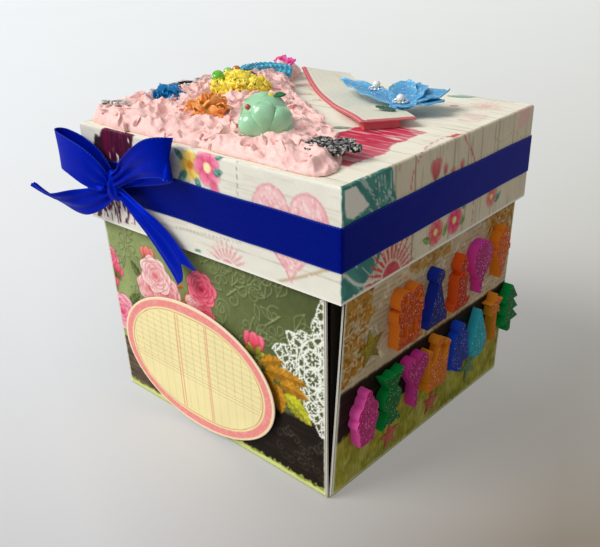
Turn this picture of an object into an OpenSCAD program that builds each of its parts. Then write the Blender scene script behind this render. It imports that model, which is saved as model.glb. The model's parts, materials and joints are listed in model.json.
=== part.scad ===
// Explosion box: nested folded card layers under a loose square lid, covered in patterned paper,
// tied with a satin ribbon and trimmed with paste, charms, a card tag and foam stickers.
// Millimetres. Z = 0 is the floor, the Z axis runs through the middle of the base.
// The front wall faces -Y and the right wall +X. The lid sits slightly turned on the box.

/* [Box] */
// Outside width of the closed box at the floor, papers included
box_w = 120; // [110:1:130]
// Height of the outer walls, which the lid rests on
box_h = 121; // [105:1:135]
// How far the tops of the outer walls lean out inside the loose lid
wall_flare = 2.3; // [1.2:0.1:2.3]
// How much each end of an outer wall stops short of the corner
corner_trim = 0.9; // [0.9:0.1:3]
// How far the top of the front wall slides along towards the left corner
front_skew = 2.7; // [0:0.1:2.7]
// How far the top of the right wall slides along towards the rear corner
right_skew = 2.8; // [0:0.1:2.8]
// How much narrower the front and right walls are at the top, each side
top_trim = 0; // [0:0.1:3]
// How much narrower the back and left walls are at the top, each side
hidden_trim = 2.4; // [2:0.1:4]

/* [Card and paper] */
// Thickness of the outer card
card_t = 0.8; // [0.5:0.1:1]
// Thickness of the inner layers' card
layer_t = 0.6; // [0.4:0.1:1]
// Thickness of the patterned paper
paper_t = 0.2; // [0.1:0.05:0.3]
// Outer radius of a fold
fold_r = 1; // [1:0.1:1.5]
// Layer of glue under a paper, a sticker or a tag
glue_t = 0.05; // [0.02:0.01:0.1]
// Plain border left round the paper on a wall
paper_border = 0.6; // [0.3:0.1:4]

/* [Inner layers] */
// Gap from the outside of the box to the middle layer
middle_gap = 2.5; // [2.5:0.5:8]
// How far the middle layer's walls end below the outer ones
middle_drop = 4; // [3:1:30]
// Gap from the outside of the middle layer to the inner layer
inner_gap = 4.5; // [2.5:0.5:8]
// How far the inner layer's walls end below the outer ones
inner_drop = 11; // [7:1:40]
// Plain border left round a mat on the inner layer
mat_margin = 9; // [6:1:20]

/* [Lid] */
// How far the lid's skirt stands out from the box at the fold, paper included
lid_gap = 4; // [4:0.25:9]
// Depth of the lid's skirt
lid_depth = 39; // [25:1:50]
// Turn of the lid against the box, in degrees
lid_turn = 2.2; // [0:0.1:2.2]
// How far the lid's glued corner tabs reach along a skirt
tab_len = 12; // [6:1:20]
// Thickness of a corner tab
tab_t = 0.4; // [0.2:0.1:0.4]

/* [Ribbon] */
// Width of the satin ribbon
ribbon_w = 15; // [10:1:20]
// Thickness of the ribbon
ribbon_t = 0.4; // [0.3:0.1:0.6]
// Height of the bare skirt between the ribbon and the lid's lower edge
ribbon_rise = 11.6; // [4:0.2:20]
// Place of the knot along the front skirt, from the middle
knot_x = -41; // [-50:1:-30]
// Size of the bow's loops against the photographed ones
loop_scale = 1; // [0.7:0.05:1.1]
// Size of the bow's tails against the photographed ones
tail_scale = 1; // [0.7:0.05:1.1]
// Depth of the notch in the right tail's end
tail_notch = 8; // [0:1:10]

/* [Oval tag] */
// Width of the oval tag on the front wall
oval_w = 88; // [60:1:96]
// Height of the oval tag
oval_h = 57; // [40:1:58]
// Middle of the oval along the wall
oval_x = -8.5; // [-12:0.5:8]
// Middle of the oval above the floor
oval_z = 30.5; // [30:0.5:40]
// Thickness of the oval card
oval_t = 0.8; // [0.5:0.1:1.5]
// Thickness of the foam pads under the oval
pad_t = 2; // [1.5:0.1:4]

/* [Foam stickers] */
// Height of a foam sticker
foam_h = 23; // [18:0.5:24]
// Thickness of the foam
foam_t = 4.5; // [2:0.5:5]
// Thickness of the foil stars
star_t = 0.3; // [0.2:0.1:0.5]

/* [Trim on the lid] */
// Height of the paste at its thickest
paste_h = 7.5; // [4:0.5:9]
// Width of the cake charm
cake_w = 18.8; // [14:0.2:22]
// Height of the cake charm from its foot to its top
cake_h = 21; // [14:0.5:23]
// Length of the card tag
tag_len = 92; // [80:1:94]
// Width of the card tag
tag_w = 21; // [14:1:22]
// How far the tag's rear end curls up
tag_curl = 6; // [2:0.5:9]
// How far the tag's front end is lifted by the foam pad under it
tag_lift = 3; // [1:0.1:4]
// Size of the blue flower against the photographed one
flower_scale = 1; // [0.7:0.05:1.1]
// Radius of the pearls
pearl_r = 1.7; // [1.2:0.1:2.2]

/* [Hidden] */
$fn = 48;

FRONT = 0;
RIGHT = 1;
BACK = 2;
LEFT = 3;
SKIN = glue_t + paper_t;
// Distance of the outer card's faces from the middle at the fold
OUTER_D = box_w / 2 - SKIN;
WALL_HALF = OUTER_D - corner_trim;
MIDDLE_W = box_w - 2 * middle_gap;
INNER_W = MIDDLE_W - 2 * inner_gap;
INNER_H = box_h - inner_drop;
LID_W = box_w + 2 * lid_gap;
LID_TOP = box_h + card_t + SKIN;
LID_BOTTOM = LID_TOP - lid_depth;
// Middles of the two rows of stickers
UPPER_ROW_Z = 0.76 * LID_BOTTOM;
LOWER_ROW_Z = 0.375 * LID_BOTTOM;
// The trim is laid out for a box 120 wide, and its places keep their share of the width
SHARE = box_w / 120;
RIBBON_Z = LID_BOTTOM + ribbon_rise + ribbon_w / 2;

// Curves and lofts

function lerp(a, b, t) = a + (b - a) * t;
function smooth(t) = t * t * (3 - 2 * t);
function unit(v) = v / norm(v);
function wave(x, y, p) = sin(x * 17 + 50 * sin(y * 11 + p)) * cos(y * 15 + 40 * sin(x * 9 - p));
function turned(p, a) = [p.x * cos(a) - p.y * sin(a), p.x * sin(a) + p.y * cos(a), p.z];

// A point on a smooth curve through the points p, at the share t of its length
function spline(p, t, closed = false) =
    let (n = len(p), m = closed ? n : n - 1, s = min(t, 0.99999) * m, i = floor(s), f = s - i,
        a = closed ? p[(i + n - 1) % n] : p[max(i - 1, 0)], b = p[i % n],
        c = closed ? p[(i + 1) % n] : p[min(i + 1, m)],
        d = closed ? p[(i + 2) % n] : p[min(i + 2, m)])
    0.5 * (2 * b + (c - a) * f + (2 * a - 5 * b + 4 * c - d) * f * f
        + (3 * b - a - 3 * c + d) * f * f * f);

// A closed solid through rings of points, each ring anticlockwise seen from the last one. It ends
// flat, or in a tip. From point turn of a ring on, the sides are split along their other diagonal,
// so that the two faces of a thin warped sheet stay parallel.
module loft(rings, tip, turn) {
    n = len(rings[0]);
    m = len(rings);
    sides = [for (i = [0:m - 2]) for (j = [0:n - 1])
        each let (a = i * n + j, b = i * n + (j + 1) % n)
            !is_undef(turn) && j >= turn ? [[a, a + n, b], [b, a + n, b + n]]
                : [[a, a + n, b + n], [a, b + n, b]]];
    start = [for (j = [0:n - 1]) j];
    flat_end = [[for (j = [n - 1:-1:0]) (m - 1) * n + j]];
    tip_end = [for (j = [0:n - 1]) [(m - 1) * n + j, m * n, (m - 1) * n + (j + 1) % n]];
    polyhedron(concat([for (ring = rings) each ring], is_undef(tip) ? [] : [tip]),
        concat([start], sides, is_undef(tip) ? flat_end : tip_end), convexity = 6);
}

// Flat shapes drawn as children, each raised to the thickness t
module slab(t) {
    for (i = [0:$children - 1]) linear_extrude(t) children(i);
}

// A strip of ribbon along stations of [point, direction across, width]
function strip_ring(stations, i, thick) =
    let (last = len(stations) - 1, s = stations[i],
        along = unit(stations[min(i + 1, last)][0] - stations[max(i - 1, 0)][0]),
        across = unit(s[1] - along * (s[1] * along)) * s[2] / 2,
        out = unit(cross(along, across)) * thick / 2)
    [s[0] - across - out, s[0] + across - out, s[0] + across + out, s[0] - across + out];

module strip(stations, thick) {
    loft([for (i = [0:len(stations) - 1]) strip_ring(stations, i, thick)], turn = 2);
}

// A round wire or horn along points p, of the radius r at its start and r_end at its end
module tube(p, r, r_end, steps, sides = 8) {
    loft([for (i = [0:steps]) let (t = i / steps, c = spline(p, t),
        along = unit(spline(p, min(t + 0.02, 1)) - spline(p, max(t - 0.02, 0))),
        u = unit(cross(along, abs(along.z) > 0.8 ? [1, 0, 0] : [0, 0, 1])), v = cross(along, u))
        [for (j = [0:sides - 1]) let (a = -360 * j / sides)
            c + lerp(r, r_end, t) * (u * cos(a) - v * sin(a))]]);
}

// Walls that stand straight at the fold and follow the turned lid at the top

// The share of the way from the fold to the top
function rise(z) = max(0, z - fold_r) / (box_h - fold_r);
function skew(k) = k == FRONT ? -front_skew : k == RIGHT ? right_skew : 0;
function wall_trim(k) = k == FRONT || k == RIGHT ? top_trim : hidden_trim;
function wall_end(k, z, side) =
    side * WALL_HALF + (skew(k) - side * wall_trim(k)) * rise(z);
function wall_angle(k, z) = 90 * k + lid_turn * rise(z);
function wall_point(k, u, z, d) =
    let (a = wall_angle(k, z), v = d + wall_flare * rise(z))
    [u * cos(a) + v * sin(a), u * sin(a) - v * cos(a), z];

// One ring of a sheet on wall k from a to b, at the height and distance out of its two faces
ACROSS = 6;
function sheet_ring(k, a, b, outer_z, outer, inner_z, inner) =
    concat([for (j = [0:ACROSS]) wall_point(k, lerp(a, b, j / ACROSS), outer_z, outer)],
        [for (j = [ACROSS:-1:0]) wall_point(k, lerp(a, b, j / ACROSS), inner_z, inner)]);
function sheet_rings(k, inner, outer, border, z0, z1) =
    [for (i = [0:10]) let (z = lerp(z0, z1, i / 10))
        sheet_ring(k, wall_end(k, z, -1) + border, wall_end(k, z, 1) - border, z, outer, z, inner)];

// A wall of the outer card with its fold, from the edge of the base
module box_wall(k) {
    half = WALL_HALF - 0.5;
    inner_r = max(fold_r - card_t, 0.05);
    loft(concat([for (a = [0:30:60])
            sheet_ring(k, -half, half, fold_r * (1 - cos(a)), OUTER_D - fold_r * (1 - sin(a)),
                fold_r - inner_r * cos(a), OUTER_D - fold_r + inner_r * sin(a))],
        sheet_rings(k, OUTER_D - card_t, OUTER_D, 0, fold_r, box_h)), turn = ACROSS + 1);
}

// Places a flat child, drawn in X and Y and thick in Z, on the outside of wall k
module on_wall(k, u, z) {
    lean = atan((wall_flare - u * lid_turn * PI / 180) / box_h);
    translate(wall_point(k, u, z, box_w / 2)) rotate([90 + lean, 0, wall_angle(k, z)])
        translate([0, 0, glue_t]) children();
}

module fold(half, len, t) {
    for (k = [0:3]) rotate([0, 0, 90 * k]) translate([-len, -half + fold_r, fold_r])
        rotate([90, 0, 90]) linear_extrude(2 * len) intersection() {
            difference() {
                circle(fold_r);
                circle(fold_r - t);
            }
            translate([-fold_r, -fold_r]) square(fold_r);
        }
}

// Box

module outer_sheet() {
    color("#26221f") {
        flat = OUTER_D - fold_r;
        translate([-flat, -flat, 0]) cube([2 * flat, 2 * flat, card_t]);
        for (k = [0:3]) box_wall(k);
    }
}

// A plain cross of card with four straight walls, standing at the height z
module layer(w, h, z) {
    half = w / 2;
    flat = half - fold_r;
    len = half - layer_t - corner_trim;
    translate([0, 0, z]) {
        translate([-flat, -flat, 0]) cube([2 * flat, 2 * flat, layer_t]);
        fold(half, len, layer_t);
        for (k = [0:3]) rotate([0, 0, 90 * k]) translate([0, layer_t - half, 0])
            rotate([90, 0, 0]) linear_extrude(layer_t)
                polygon([[-len, fold_r], [len, fold_r], [len - corner_trim, h - fold_r],
                    [len - 2 * fold_r, h], [2 * fold_r - len, h], [corner_trim - len, h - fold_r]]);
    }
}

module middle_sheet() {
    color("#1d1b1a") layer(MIDDLE_W, box_h - middle_drop, card_t);
}

module inner_sheet() {
    color("#242120") layer(INNER_W, INNER_H, card_t + layer_t);
}

module inner_mats() {
    floor_z = card_t + 2 * layer_t + glue_t;
    mat_w = INNER_W - 2 * mat_margin;
    color("#efe6cf") {
        translate([-mat_w / 2, -mat_w / 2, floor_z]) cube([mat_w, mat_w, paper_t]);
        for (k = [0:3]) rotate([0, 0, 90 * k])
            translate([-mat_w / 2, -INNER_W / 2 + layer_t + glue_t, floor_z + mat_margin])
                cube([mat_w, paper_t, INNER_H - 2 * mat_margin]);
    }
}

module wall_paper(k) {
    loft(sheet_rings(k, OUTER_D + glue_t, box_w / 2, paper_border, fold_r + paper_border,
        box_h - fold_r), turn = ACROSS + 1);
}

module front_paper() {
    color("#6d7a45") wall_paper(FRONT);
}

module right_paper() {
    color("#b79a70") wall_paper(RIGHT);
}

module back_paper() {
    color("#b79a70") wall_paper(BACK);
}

module left_paper() {
    color("#6d7a45") wall_paper(LEFT);
}

module oval_outline(w, h) {
    scale([1, h / w]) circle(d = w);
}

module oval_tag() {
    color("#f2e3a0") on_wall(FRONT, oval_x, oval_z) translate([0, 0, pad_t])
        linear_extrude(oval_t) oval_outline(oval_w, oval_h);
}

// The pads stand clear of the warped wall by the thickness of their adhesive
module tag_foam_pads() {
    pad = 0.1 * oval_w;
    adhesive = 3 * glue_t;
    color("white") on_wall(FRONT, oval_x, oval_z)
        for (x = [-1:1], y = [-1, 1])
            translate([x * oval_w / 4, y * oval_h / 5, adhesive])
                linear_extrude(pad_t - glue_t - adhesive) square(pad, center = true);
}

// Foam stickers, each drawn 24 high and scaled to foam_h and to its share of the wall's width

module sticker(u, z, tint) {
    color(tint) on_wall(RIGHT, u * SHARE, z) scale([0.958 * SHARE, foam_h / 24, 1])
        for (i = [0:$children - 1]) linear_extrude(foam_t) children(i);
}

module foam_gift() {
    sticker(-23, UPPER_ROW_Z, "#e2561a") {
        difference() {
            translate([-7.5, -12]) square([15, 12]);
            translate([-4.5, -9]) square([3, 6]);
            translate([1.5, -9]) square([3, 6]);
        }
        translate([-8.5, -0.5]) square([17, 4.5]);
        for (side = [-1, 1]) translate([side * 3.8, 7.5]) difference() {
            circle(4.2);
            circle(1.6);
        }
    }
}

module foam_hat() {
    sticker(-4.3, UPPER_ROW_Z, "#14205e") {
        polygon([[-6.5, -10], [6.5, -10], [0, 8.5]]);
        translate([-7, -12]) square([14, 3.2]);
        translate([0, 9]) circle(3);
    }
}

module foam_candle() {
    sticker(13, UPPER_ROW_Z, "#cc3a16") {
        translate([-3.8, -10.5]) square([7.6, 13.5]);
        translate([-6.3, -12]) square([12.6, 3]);
        translate([-0.9, 2.5]) square([1.8, 4]);
        translate([0, 7]) circle(2.9);
        polygon([[-2.7, 8], [2.7, 8], [0.4, 12]]);
    }
}

module foam_balloon() {
    sticker(28.3, UPPER_ROW_Z + 0.5, "#bb2a84") {
        translate([0, 4.3]) circle(7.7);
        polygon([[-5.6, -1], [5.6, -1], [1.4, -5.4], [-1.4, -5.4]]);
        polygon([[-2.6, -7], [2.6, -7], [1, -4.8], [-1, -4.8]]);
        translate([-0.9, -12]) square([1.8, 6]);
    }
}

module foam_cone() {
    sticker(44.8, UPPER_ROW_Z + 1.5, "#e2641c") {
        polygon([[-5.5, 1.5], [5.5, 1.5], [0.9, -12], [-0.9, -12]]);
        translate([-6.3, 0]) square([12.6, 2.4]);
        translate([0, 4.6]) circle(5.6);
        translate([0.6, 10]) circle(2);
    }
}

module foam_cupcake() {
    sticker(-45.3, LOWER_ROW_Z, "#bf2c7e") {
        polygon([[-4, -12], [4, -12], [5.6, -2.5], [-5.6, -2.5]]);
        for (x = [-4, 0, 4]) translate([x, -1.5]) circle(2.6);
        translate([-2.4, 2.6]) circle(3.6);
        translate([2.4, 2.6]) circle(3.6);
        translate([0, 6.4]) circle(3.3);
        translate([0, 10.2]) circle(1.8);
    }
}

module foam_sweet() {
    sticker(-30.3, LOWER_ROW_Z, "#0c6b2c") {
        circle(5.7);
        for (side = [-1, 1])
            polygon([[-1.4, side * 4], [1.4, side * 4], [6.6, side * 12], [2.6, side * 10.6],
                [0, side * 12], [-2.6, side * 10.6], [-6.6, side * 12]]);
    }
}

module foam_heart() {
    sticker(-14.8, LOWER_ROW_Z, "#b7267c") {
        for (side = [-1, 1]) translate([side * 3.3, 7.6]) circle(4);
        polygon([[-6.6, 5.3], [0, 9], [6.6, 5.3], [0, -3.6]]);
        translate([-1.1, -12]) square([2.2, 12]);
    }
}

module foam_crown() {
    sticker(0.4, LOWER_ROW_Z + 1.5, "#dd8412") {
        translate([-7, -12]) square([14, 4]);
        polygon([[-6.6, -8.4], [6.6, -8.4], [7.4, 6], [3.2, -1], [0, 8.6], [-3.2, -1], [-7.4, 6]]);
        for (x = [-1, 1]) translate([x * 6.6, 6.6]) circle(1.5);
        translate([0, 9.8]) circle(2.2);
    }
}

module foam_bell() {
    sticker(16.8, LOWER_ROW_Z + 0.5, "#1a3fb0") {
        translate([0, 2.6]) circle(5.6);
        polygon([[-5.6, 3], [5.6, 3], [6.4, -5], [7.8, -8], [-7.8, -8], [-6.4, -5]]);
        translate([0, -9]) circle(3);
        translate([0, 9.4]) circle(2.6);
    }
}

module foam_drop() {
    sticker(32, LOWER_ROW_Z + 0.5, "#2ab0bd") {
        translate([0, -5]) circle(6.7);
        polygon([[-6.2, -2.6], [0, 12], [6.2, -2.6]]);
    }
}

module foam_wand() {
    sticker(44.6, LOWER_ROW_Z + 3, "#dd7a18") {
        translate([0, 6.2]) star(5.8, 2.6);
        translate([-1, -12]) square([2, 15]);
    }
}

module foam_tree() {
    sticker(58.6, LOWER_ROW_Z + 2, "#12803a") {
        for (i = [0:2]) translate([0, 5.5 * i - 7]) polygon([[i - 8, 0], [8 - i, 0], [0, 8]]);
        translate([-1.4, -12]) square([2.8, 5.5]);
    }
}

module star(r, waist) {
    polygon([for (i = [0:9]) let (a = 90 + 36 * i, d = i % 2 == 0 ? r : waist)
        [d * cos(a), d * sin(a)]]);
}

module foil_star(u, z, r, tilt, tint) {
    color(tint) on_wall(RIGHT, u * SHARE, z) rotate(tilt) linear_extrude(star_t)
        star(r * SHARE, 0.42 * r * SHARE);
}

module star_olive() {
    foil_star(-41, 0.68 * LID_BOTTOM, 7.6, 8, "#8a8428");
}

module star_blue() {
    foil_star(54, 0.686 * LID_BOTTOM, 5.6, -6, "#1c86ae");
}

module star_green() {
    foil_star(33, 0.163 * LID_BOTTOM, 7, 14, "#2f5a34");
}

module star_red_left() {
    foil_star(-24.6, 0.114 * LID_BOTTOM, 6.2, 5, "#b03a30");
}

module star_red_right() {
    foil_star(4, 0.12 * LID_BOTTOM, 6, -8, "#a8362f");
}

module glitter_dot() {
    color("#dd7a18") on_wall(RIGHT, 43.5 * SHARE, 0.238 * LID_BOTTOM) scale(SHARE)
        lump(2.6, 2.2, 2, 0.12, 3, 12, 3);
}

// Lid

module on_lid() {
    rotate([0, 0, lid_turn]) translate([0, 0, LID_TOP]) children();
}

// Open-bottomed folded square of half width half, thickness t and top height z
module tray(half, z, t, skirt) {
    flat = half - fold_r;
    translate([-flat, -flat, z - t]) cube([2 * flat, 2 * flat, t]);
    translate([0, 0, z]) mirror([0, 0, 1]) fold(half, half - t, t);
    for (k = [0:3]) rotate([0, 0, 90 * k]) translate([-half + (k % 2) * t, -half, z - skirt])
        cube([2 * half - (k % 2) * 2 * t, t, skirt - fold_r]);
}

module lid_tray() {
    half = LID_W / 2 - SKIN;
    inside = half - card_t;
    color("#e9e4d6") on_lid() {
        tray(half, -SKIN, card_t, lid_depth - SKIN);
        for (k = [1, 3], side = [-1, 1]) rotate([0, 0, 90 * k])
            translate([side > 0 ? inside - tab_len : -inside, -inside - 0.01, -lid_depth + 1])
                cube([tab_len, tab_t + 0.01, lid_depth - SKIN - card_t - 1]);
    }
}

module lid_paper() {
    color("#e8e2d0") on_lid() tray(LID_W / 2, 0, paper_t, lid_depth);
}

module ribbon_band() {
    half = LID_W / 2 + glue_t;
    corner = ribbon_t + 0.2;
    color("#0a1a8c") on_lid() translate([0, 0, RIBBON_Z - LID_TOP - ribbon_w / 2])
        linear_extrude(ribbon_w) difference() {
            union() {
                square([2 * (half + ribbon_t), 2 * (half + ribbon_t - corner)], center = true);
                square([2 * (half + ribbon_t - corner), 2 * (half + ribbon_t)], center = true);
                for (x = [-1, 1], y = [-1, 1])
                    translate([x, y] * (half + ribbon_t - corner)) circle(corner);
            }
            square(2 * half, center = true);
        }
}

// Bow: X runs along the front skirt, Y out from it and Z up, from the middle of the knot.
// Each station is [middle of the ribbon, direction across it, share of its full width].

LEFT_LOOP = [[[-2.5, 5.4, 0.3], [0.25, 0, 1], 0.4], [[-6, 7, 3], [0.2, 0, 1], 0.8],
    [[-12, 8.6, 6.6], [0.05, 0, 1], 1], [[-20, 8.8, 9], [0, 0, 1], 1],
    [[-27, 7.6, 10], [-0.05, 0, 1], 1], [[-29.8, 5.2, 10.2], [-0.05, 0, 1], 1],
    [[-27, 3.2, 9.8], [0, 0, 1], 1], [[-19, 2.2, 8], [0, 0, 1], 1],
    [[-10, 1.9, 4.6], [0, 0, 1], 0.9], [[-3, 2, 1], [0, 0, 1], 0.5]];
RIGHT_LOOP = [[[2.5, 5.4, 2.4], [-0.3, 0, 1], 0.35], [[9, 6.2, 6], [-0.25, 0.2, 1], 0.42],
    [[15, 7, 9.8], [-0.15, 0.4, 0.9], 0.6], [[23.5, 8.2, 14.2], [-0.1, 0.25, 1], 0.8],
    [[30.5, 7.6, 17], [-0.05, 0.1, 1], 0.97], [[34.4, 4.8, 16.8], [0, 0, 1], 1],
    [[31, 2.4, 14.8], [0, 0, 1], 1], [[24, 1.6, 12.2], [0, 0, 1], 1],
    [[15, 1.4, 8.6], [0, 0, 1], 0.85], [[8, 1.5, 5], [0, 0, 1], 0.6],
    [[2, 1.8, 1.6], [0, 0, 1], 0.35]];
LEFT_TAIL = [[[-2.5, 4, -3.4], [0.4, 0, 0.9], 0.4], [[-9, 5, -6.6], [0.25, 0.1, 0.95], 0.6],
    [[-17, 6.4, -9.6], [0.1, 0.2, 0.97], 0.75], [[-25, 8, -11], [0.2, 0.5, 0.8], 0.85],
    [[-31.5, 9.5, -10.5], [0.45, 0.65, 0.6], 0.8], [[-37, 11, -8.4], [0.61, 0.66, 0.43], 0.6],
    [[-41.5, 12.6, -5.8], [0.61, 0.66, 0.43], 0.3]];
RIGHT_TAIL = [[[2.2, 3.6, -2], [0.5, 0, 0.8], 0.35], [[7, 3.9, -4], [0.5, 0, 0.85], 0.42],
    [[14, 3.4, -8.9], [0.45, 0, 0.9], 0.58], [[20.4, 2.7, -13.8], [0.42, 0, 0.9], 0.7],
    [[26.8, 2.3, -19.4], [0.4, 0, 0.92], 0.78], [[32.4, 2.2, -25], [0.3, 0, 0.95], 0.86],
    [[35.6, 2.2, -28.8], [0.15, 0, 0.98], 0.95]];

module at_knot() {
    on_lid() translate([knot_x, -LID_W / 2 - ribbon_t - 2 * glue_t, RIBBON_Z - LID_TOP])
        mirror([0, 1, 0]) children();
}

// The bow's places are laid out for a ribbon 15 wide
BOW = ribbon_w / 15;

// A strip of ribbon through the stations of list p, k times their size along the skirt
module bow_strip(p, k, steps) {
    mid = [for (q = p) [q[0].x * k, q[0].y, q[0].z * k] * BOW];
    across = [for (q = p) unit(q[1])];
    share = [for (q = p) [q[2]]];
    strip([for (i = [0:steps]) let (t = i / steps)
        [spline(mid, t), unit(spline(across, t)), ribbon_w * spline(share, t)[0]]], ribbon_t);
}

module bow_loop_left() {
    color("#0d20a0") at_knot() bow_strip(LEFT_LOOP, loop_scale, 26);
}

module bow_loop_right() {
    color("#0d20a0") at_knot() bow_strip(RIGHT_LOOP, loop_scale, 28);
}

module bow_tail_left() {
    color("#0d20a0") at_knot() bow_strip(LEFT_TAIL, tail_scale, 16);
}

module bow_tail_right() {
    tip = RIGHT_TAIL[6][0];
    color("#0d20a0") at_knot() difference() {
        bow_strip(RIGHT_TAIL, tail_scale, 12);
        if (tail_notch > 0) translate([tip.x * tail_scale, tip.y, tip.z * tail_scale] * BOW)
            rotate([90, 0, 0]) linear_extrude(8, center = true)
                polygon([[-0.25, 0.93] * tail_notch, [1, -0.65] * tail_notch, [1.2, 0.85] * tail_notch]);
    }
}

module bow_knot() {
    color("#0a1a8c") at_knot() scale(BOW) loft([for (i = [-4:4]) let (z = 1.5 * i, w = 3.7 - 0.05 * i * i,
        d = 3 - 0.1 * i * i) [for (j = [0:15]) let (a = -22.5 * j)
            [0.4 + 0.12 * z + w * cos(a), 3.2 + d * sin(a), z]]]);
}

// Paste and what is pressed into it. Heights are above the lid's top.

PASTE_EDGE = [[-62, -60], [-47, -63], [-32, -62.5], [-16, -63], [0, -61.5], [15, -62.5],
    [30, -62.5], [45, -63], [55, -61.5], [56, -54], [51, -44], [42, -32], [31, -23], [18, -12],
    [5, -2], [-9, 7], [-24, 19], [-36, 31], [-47, 43], [-52, 55], [-58, 62], [-63, 52],
    [-62, 36], [-63, 18], [-62, 0], [-63, -20], [-62.5, -42]];
PASTE_MIDDLE = [-34, -26];

// Paste mounds up behind the cake charm. Its heights are shares of paste_h.
function mound(x, y) = 0.35 * max(0, 1 - ((x - 5) * (x - 5) + (y + 33) * (y + 33)) / 170);
function paste_lump(x, y) = 0.12 * wave(x, y, 20) + 0.067 * wave(y * 1.7, x * 1.9, 70);
// Body of the paste: thickest towards the left and rear, thinner towards the front and right
function paste_body(x, y) =
    paste_h * (0.62 + 0.38 * smooth(max(0, min(1, (20 - x + y / 2) / 70))) + mound(x, y));

function paste_point(x, y, lift) = [x * SHARE, y * SHARE,
    glue_t + 0.067 * paste_h + (paste_body(x, y) + paste_h * paste_lump(x, y)) * lift];

module paste_topping() {
    rings = 9;
    around = 54;
    edge = [for (j = [0:around - 1]) spline(PASTE_EDGE, j / around, true)];
    color("#f3b9bd") on_lid() loft(concat(
        [[for (p = edge) [p.x * SHARE, p.y * SHARE, glue_t]]],
        [for (i = [0:rings]) let (f = 1 - i / (rings + 1), lift = pow(1 - pow(f, 5), 0.6))
            [for (e = edge) let (p = lerp(PASTE_MIDDLE, e, f)) paste_point(p.x, p.y, lift)]]),
        paste_point(PASTE_MIDDLE.x, PASTE_MIDDLE.y, 1));
}

// A ruffled dome of radii rx and ry and height h
module lump(rx, ry, h, ruffle, waves, around, rings) {
    loft([for (i = [0:rings]) let (t = 90 * i / (rings + 1))
        [for (j = [0:around - 1]) let (a = 360 * j / around,
            r = cos(t) * (1 + ruffle * sin(waves * a + 70 * i)))
            [rx * r * cos(a), ry * r * sin(a), h * sin(t) * (1 + ruffle * cos(waves * a))]]],
        [0, 0, h]);
}

// A place above the paste, its height measured from the paste's
function over_paste(x, y, z) = [x * SHARE, y * SHARE, paste_h + z * SHARE];
function over_paste_all(p) = [for (q = p) over_paste(q.x, q.y, q.z)];

// Places a child on the paste at x and y, sunk by its seat
module on_paste(x, y, sink = 0.8) {
    on_lid() translate([x * SHARE, y * SHARE, paste_body(x, y) - sink * SHARE]) scale(SHARE)
        children();
}

// Half a round cake that lies on its flat back, its foot towards the front
module cake_charm() {
    color("#9fd2ac") on_lid() translate(over_paste(20.5, -48, -2.5)) rotate([-80, 0, 46])
        scale([cake_w / 18.8, cake_w / 18.8, cake_h / 21] * SHARE) intersection() {
            union() {
                rotate_extrude() polygon([[0, 0], [8.2, 0], [9.2, 1], [9.4, 4], [9.1, 7], [8, 8.4],
                    [7.4, 9], [8.2, 10.4], [8.4, 14], [8, 18], [6.8, 20], [5, 21], [0, 21]]);
                translate([0, -2.4, 21]) sphere(3);
                translate([2.8, -3.4, 21.6]) sphere(1.5);
            }
            translate([-15, -15, -1]) cube([30, 15, 30]);
        }
}

module leaf_charm() {
    color("#b9b6ae") on_paste(-52, -53, 0.3) rotate([0, 0, 25]) slab(1.2) {
        polygon([[-5, 0], [-1, 2.2], [3, 1.6], [5.5, 0], [3, -1.6], [-1, -2.2]]);
        translate([-5.8, 0]) difference() {
            circle(1.8);
            circle(0.8);
        }
    }
}

module feather_charm() {
    color("#a9a69e") on_paste(-54, -17, 0.2) rotate([0, 0, 88]) slab(1.3) {
        polygon([[-9.6, 0.7], for (i = [0:5]) each [[2.2 * i - 9.6, 2.6 + 0.4 * i],
            [2.2 * i - 7.8, 2.6 + 0.4 * i], [2.2 * i - 7.4, 0.7]], [7, 0.7], [7, -0.7],
            for (i = [5:-1:0]) each [[2.2 * i - 7.4, -0.7], [2.2 * i - 7.8, -2.6 - 0.4 * i],
                [2.2 * i - 9.6, -2.6 - 0.4 * i]], [-9.6, -0.7]]);
        translate([9, 0]) difference() {
            circle(3.2);
            circle(2);
        }
    }
}

module openwork_charm() {
    color("#8d8b86") on_paste(43, -43.5, 1.4) rotate([0, 0, 20]) slab(1.8) {
        for (x = [-1, 1], y = [-1, 1]) translate([x * 4, y * 4.6]) difference() {
            circle(y > 0 ? 3.6 : 3);
            circle(y > 0 ? 2.2 : 1.7);
        }
        rotate(50) translate([-7, -0.8]) square([14, 1.6]);
        rotate(-50) translate([-7, -0.8]) square([14, 1.6]);
        circle(2.2);
        translate([8.6, 0]) difference() {
            circle(2.6);
            circle(1.4);
        }
        translate([-9, -0.7]) square([15.6, 1.4]);
    }
}

module blue_charm() {
    color("#1c74b4") on_paste(-47, -33, 0) rotate([24, 0, 40]) {
        cylinder(h = 1.4, r = 3);
        for (i = [0:5]) rotate(60 * i) slab(1.4) {
            translate([4, 0]) circle(2.2);
            polygon([[3.4, -1.7], [3.4, 1.7], [7.6, 0]]);
        }
    }
}

module orange_flower() {
    color("#e0671c") on_paste(-17.5, -38.5, 0.6) lump(6.6, 6.2, 7, 0.2, 5, 40, 6);
}

module yellow_flower() {
    color("#f1d62a") on_paste(-32, -7.5, 0.6) rotate([0, 0, 32]) lump(12.6, 9, 7.4, 0.08, 8, 48, 7);
}

BEADS = [[-38, -13.3, 4.5], [-42, -3.5, 4.3], [-42.3, 1.8, 4.3]];

module bead(i, r, tint) {
    color(tint) on_lid() translate(over_paste_all(BEADS)[i]) sphere(r * SHARE, $fn = 24);
}

module bead_green() {
    bead(0, 2.7, "#63c71c");
}

module bead_lime() {
    bead(1, 2.1, "#8fd05a");
}

module bead_amber() {
    bead(2, 2, "#c9692a");
}

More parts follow.
